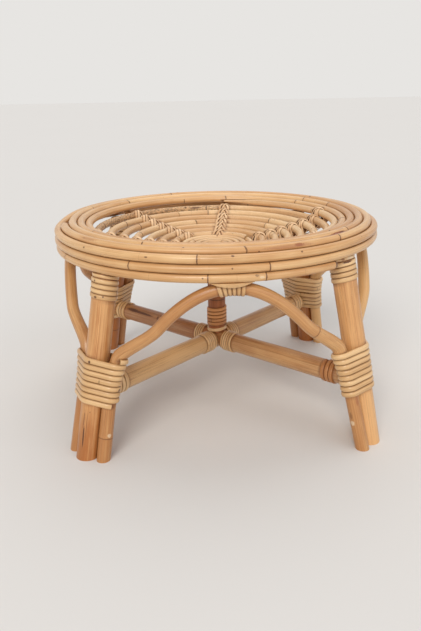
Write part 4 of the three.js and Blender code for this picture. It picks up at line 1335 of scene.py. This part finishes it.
def lightWorld():
    # the backdrop is what is seen, in gloss too; what lights the stool is softer
    world = bpy.data.worlds.new("studio")
    bpy.context.scene.world = world
    writer = ShaderWriter(world)
    rays = writer.node("ShaderNodeLightPath", {}).outputs
    shown = rays["Is Camera Ray"]
    for ray in ("Is Glossy Ray", "Is Transmission Ray"):
        shown = writer.number("MAXIMUM", shown, rays[ray])
    lit, seen = [writer.node("ShaderNodeBackground", {"Color": paint(*colour), "Strength": strength}).outputs[0]
                 for colour, strength in (stageSizes["softLight"], stageSizes["backdrop"])]
    chosen = writer.node("ShaderNodeMixShader", {0: shown, 1: lit, 2: seen})
    writer.node("ShaderNodeOutputWorld", {"Surface": chosen.outputs[0]})


# broad soft lamps, far away, so that the floor is lit evenly
lamps = [
    {"name": "key", "from": (-0.45, -1.2, 0.9), "strength": 1.6, "spread": 28, "colour": (255, 252, 246)},
    {"name": "fill", "from": (0.9, -1.0, 0.7), "strength": 0.55, "spread": 60, "colour": (250, 251, 255)},
    {"name": "above", "from": (0.15, 0.6, 1.4), "strength": 0.8, "spread": 50, "colour": (255, 252, 248)},
]


def hangLamps():
    for lamp in lamps:
        light = bpy.data.lights.new(lamp["name"], "SUN")
        light.energy = lamp["strength"]
        light.angle = math.radians(lamp["spread"])
        light.color = paint(*lamp["colour"])[:3]
        holder = addObject(lamp["name"], light)
        holder.location = Vector(lamp["from"])
        holder.rotation_mode = "QUATERNION"
        holder.rotation_quaternion = Vector(lamp["from"]).to_track_quat("Z", "Y")


viewpoint = {"place": (-63.688, -793.612, 386.083), "look": (0.06538, 0.94025, -0.33415), "roll": -1.07,
             "focalShare": 631.16 / 631, "filmWidth": 36.0, "nearest": 0.01, "farthest": 60}


def setCamera():
    look = Vector(viewpoint["look"]).normalized()
    right = look.cross(upward).normalized()
    above = right.cross(look)
    roll = math.radians(viewpoint["roll"])
    tiltedRight = right * math.cos(roll) + above * math.sin(roll)
    tiltedAbove = above * math.cos(roll) - right * math.sin(roll)
    data = bpy.data.cameras.new("camera")
    data.sensor_fit = "AUTO"
    data.sensor_width = viewpoint["filmWidth"]
    data.lens = viewpoint["filmWidth"] * viewpoint["focalShare"]
    data.clip_start, data.clip_end = viewpoint["nearest"], viewpoint["farthest"]
    camera = addObject("camera", data)
    turned = Matrix((tiltedRight, tiltedAbove, -look)).transposed().to_4x4()
    camera.matrix_world = Matrix.Translation(Vector(viewpoint["place"]) * millimetre) @ turned
    bpy.context.scene.camera = camera


layFloor()
lightWorld()
hangLamps()
setCamera()
bpy.context.scene.view_settings.view_transform = "Standard"
print("stage set")
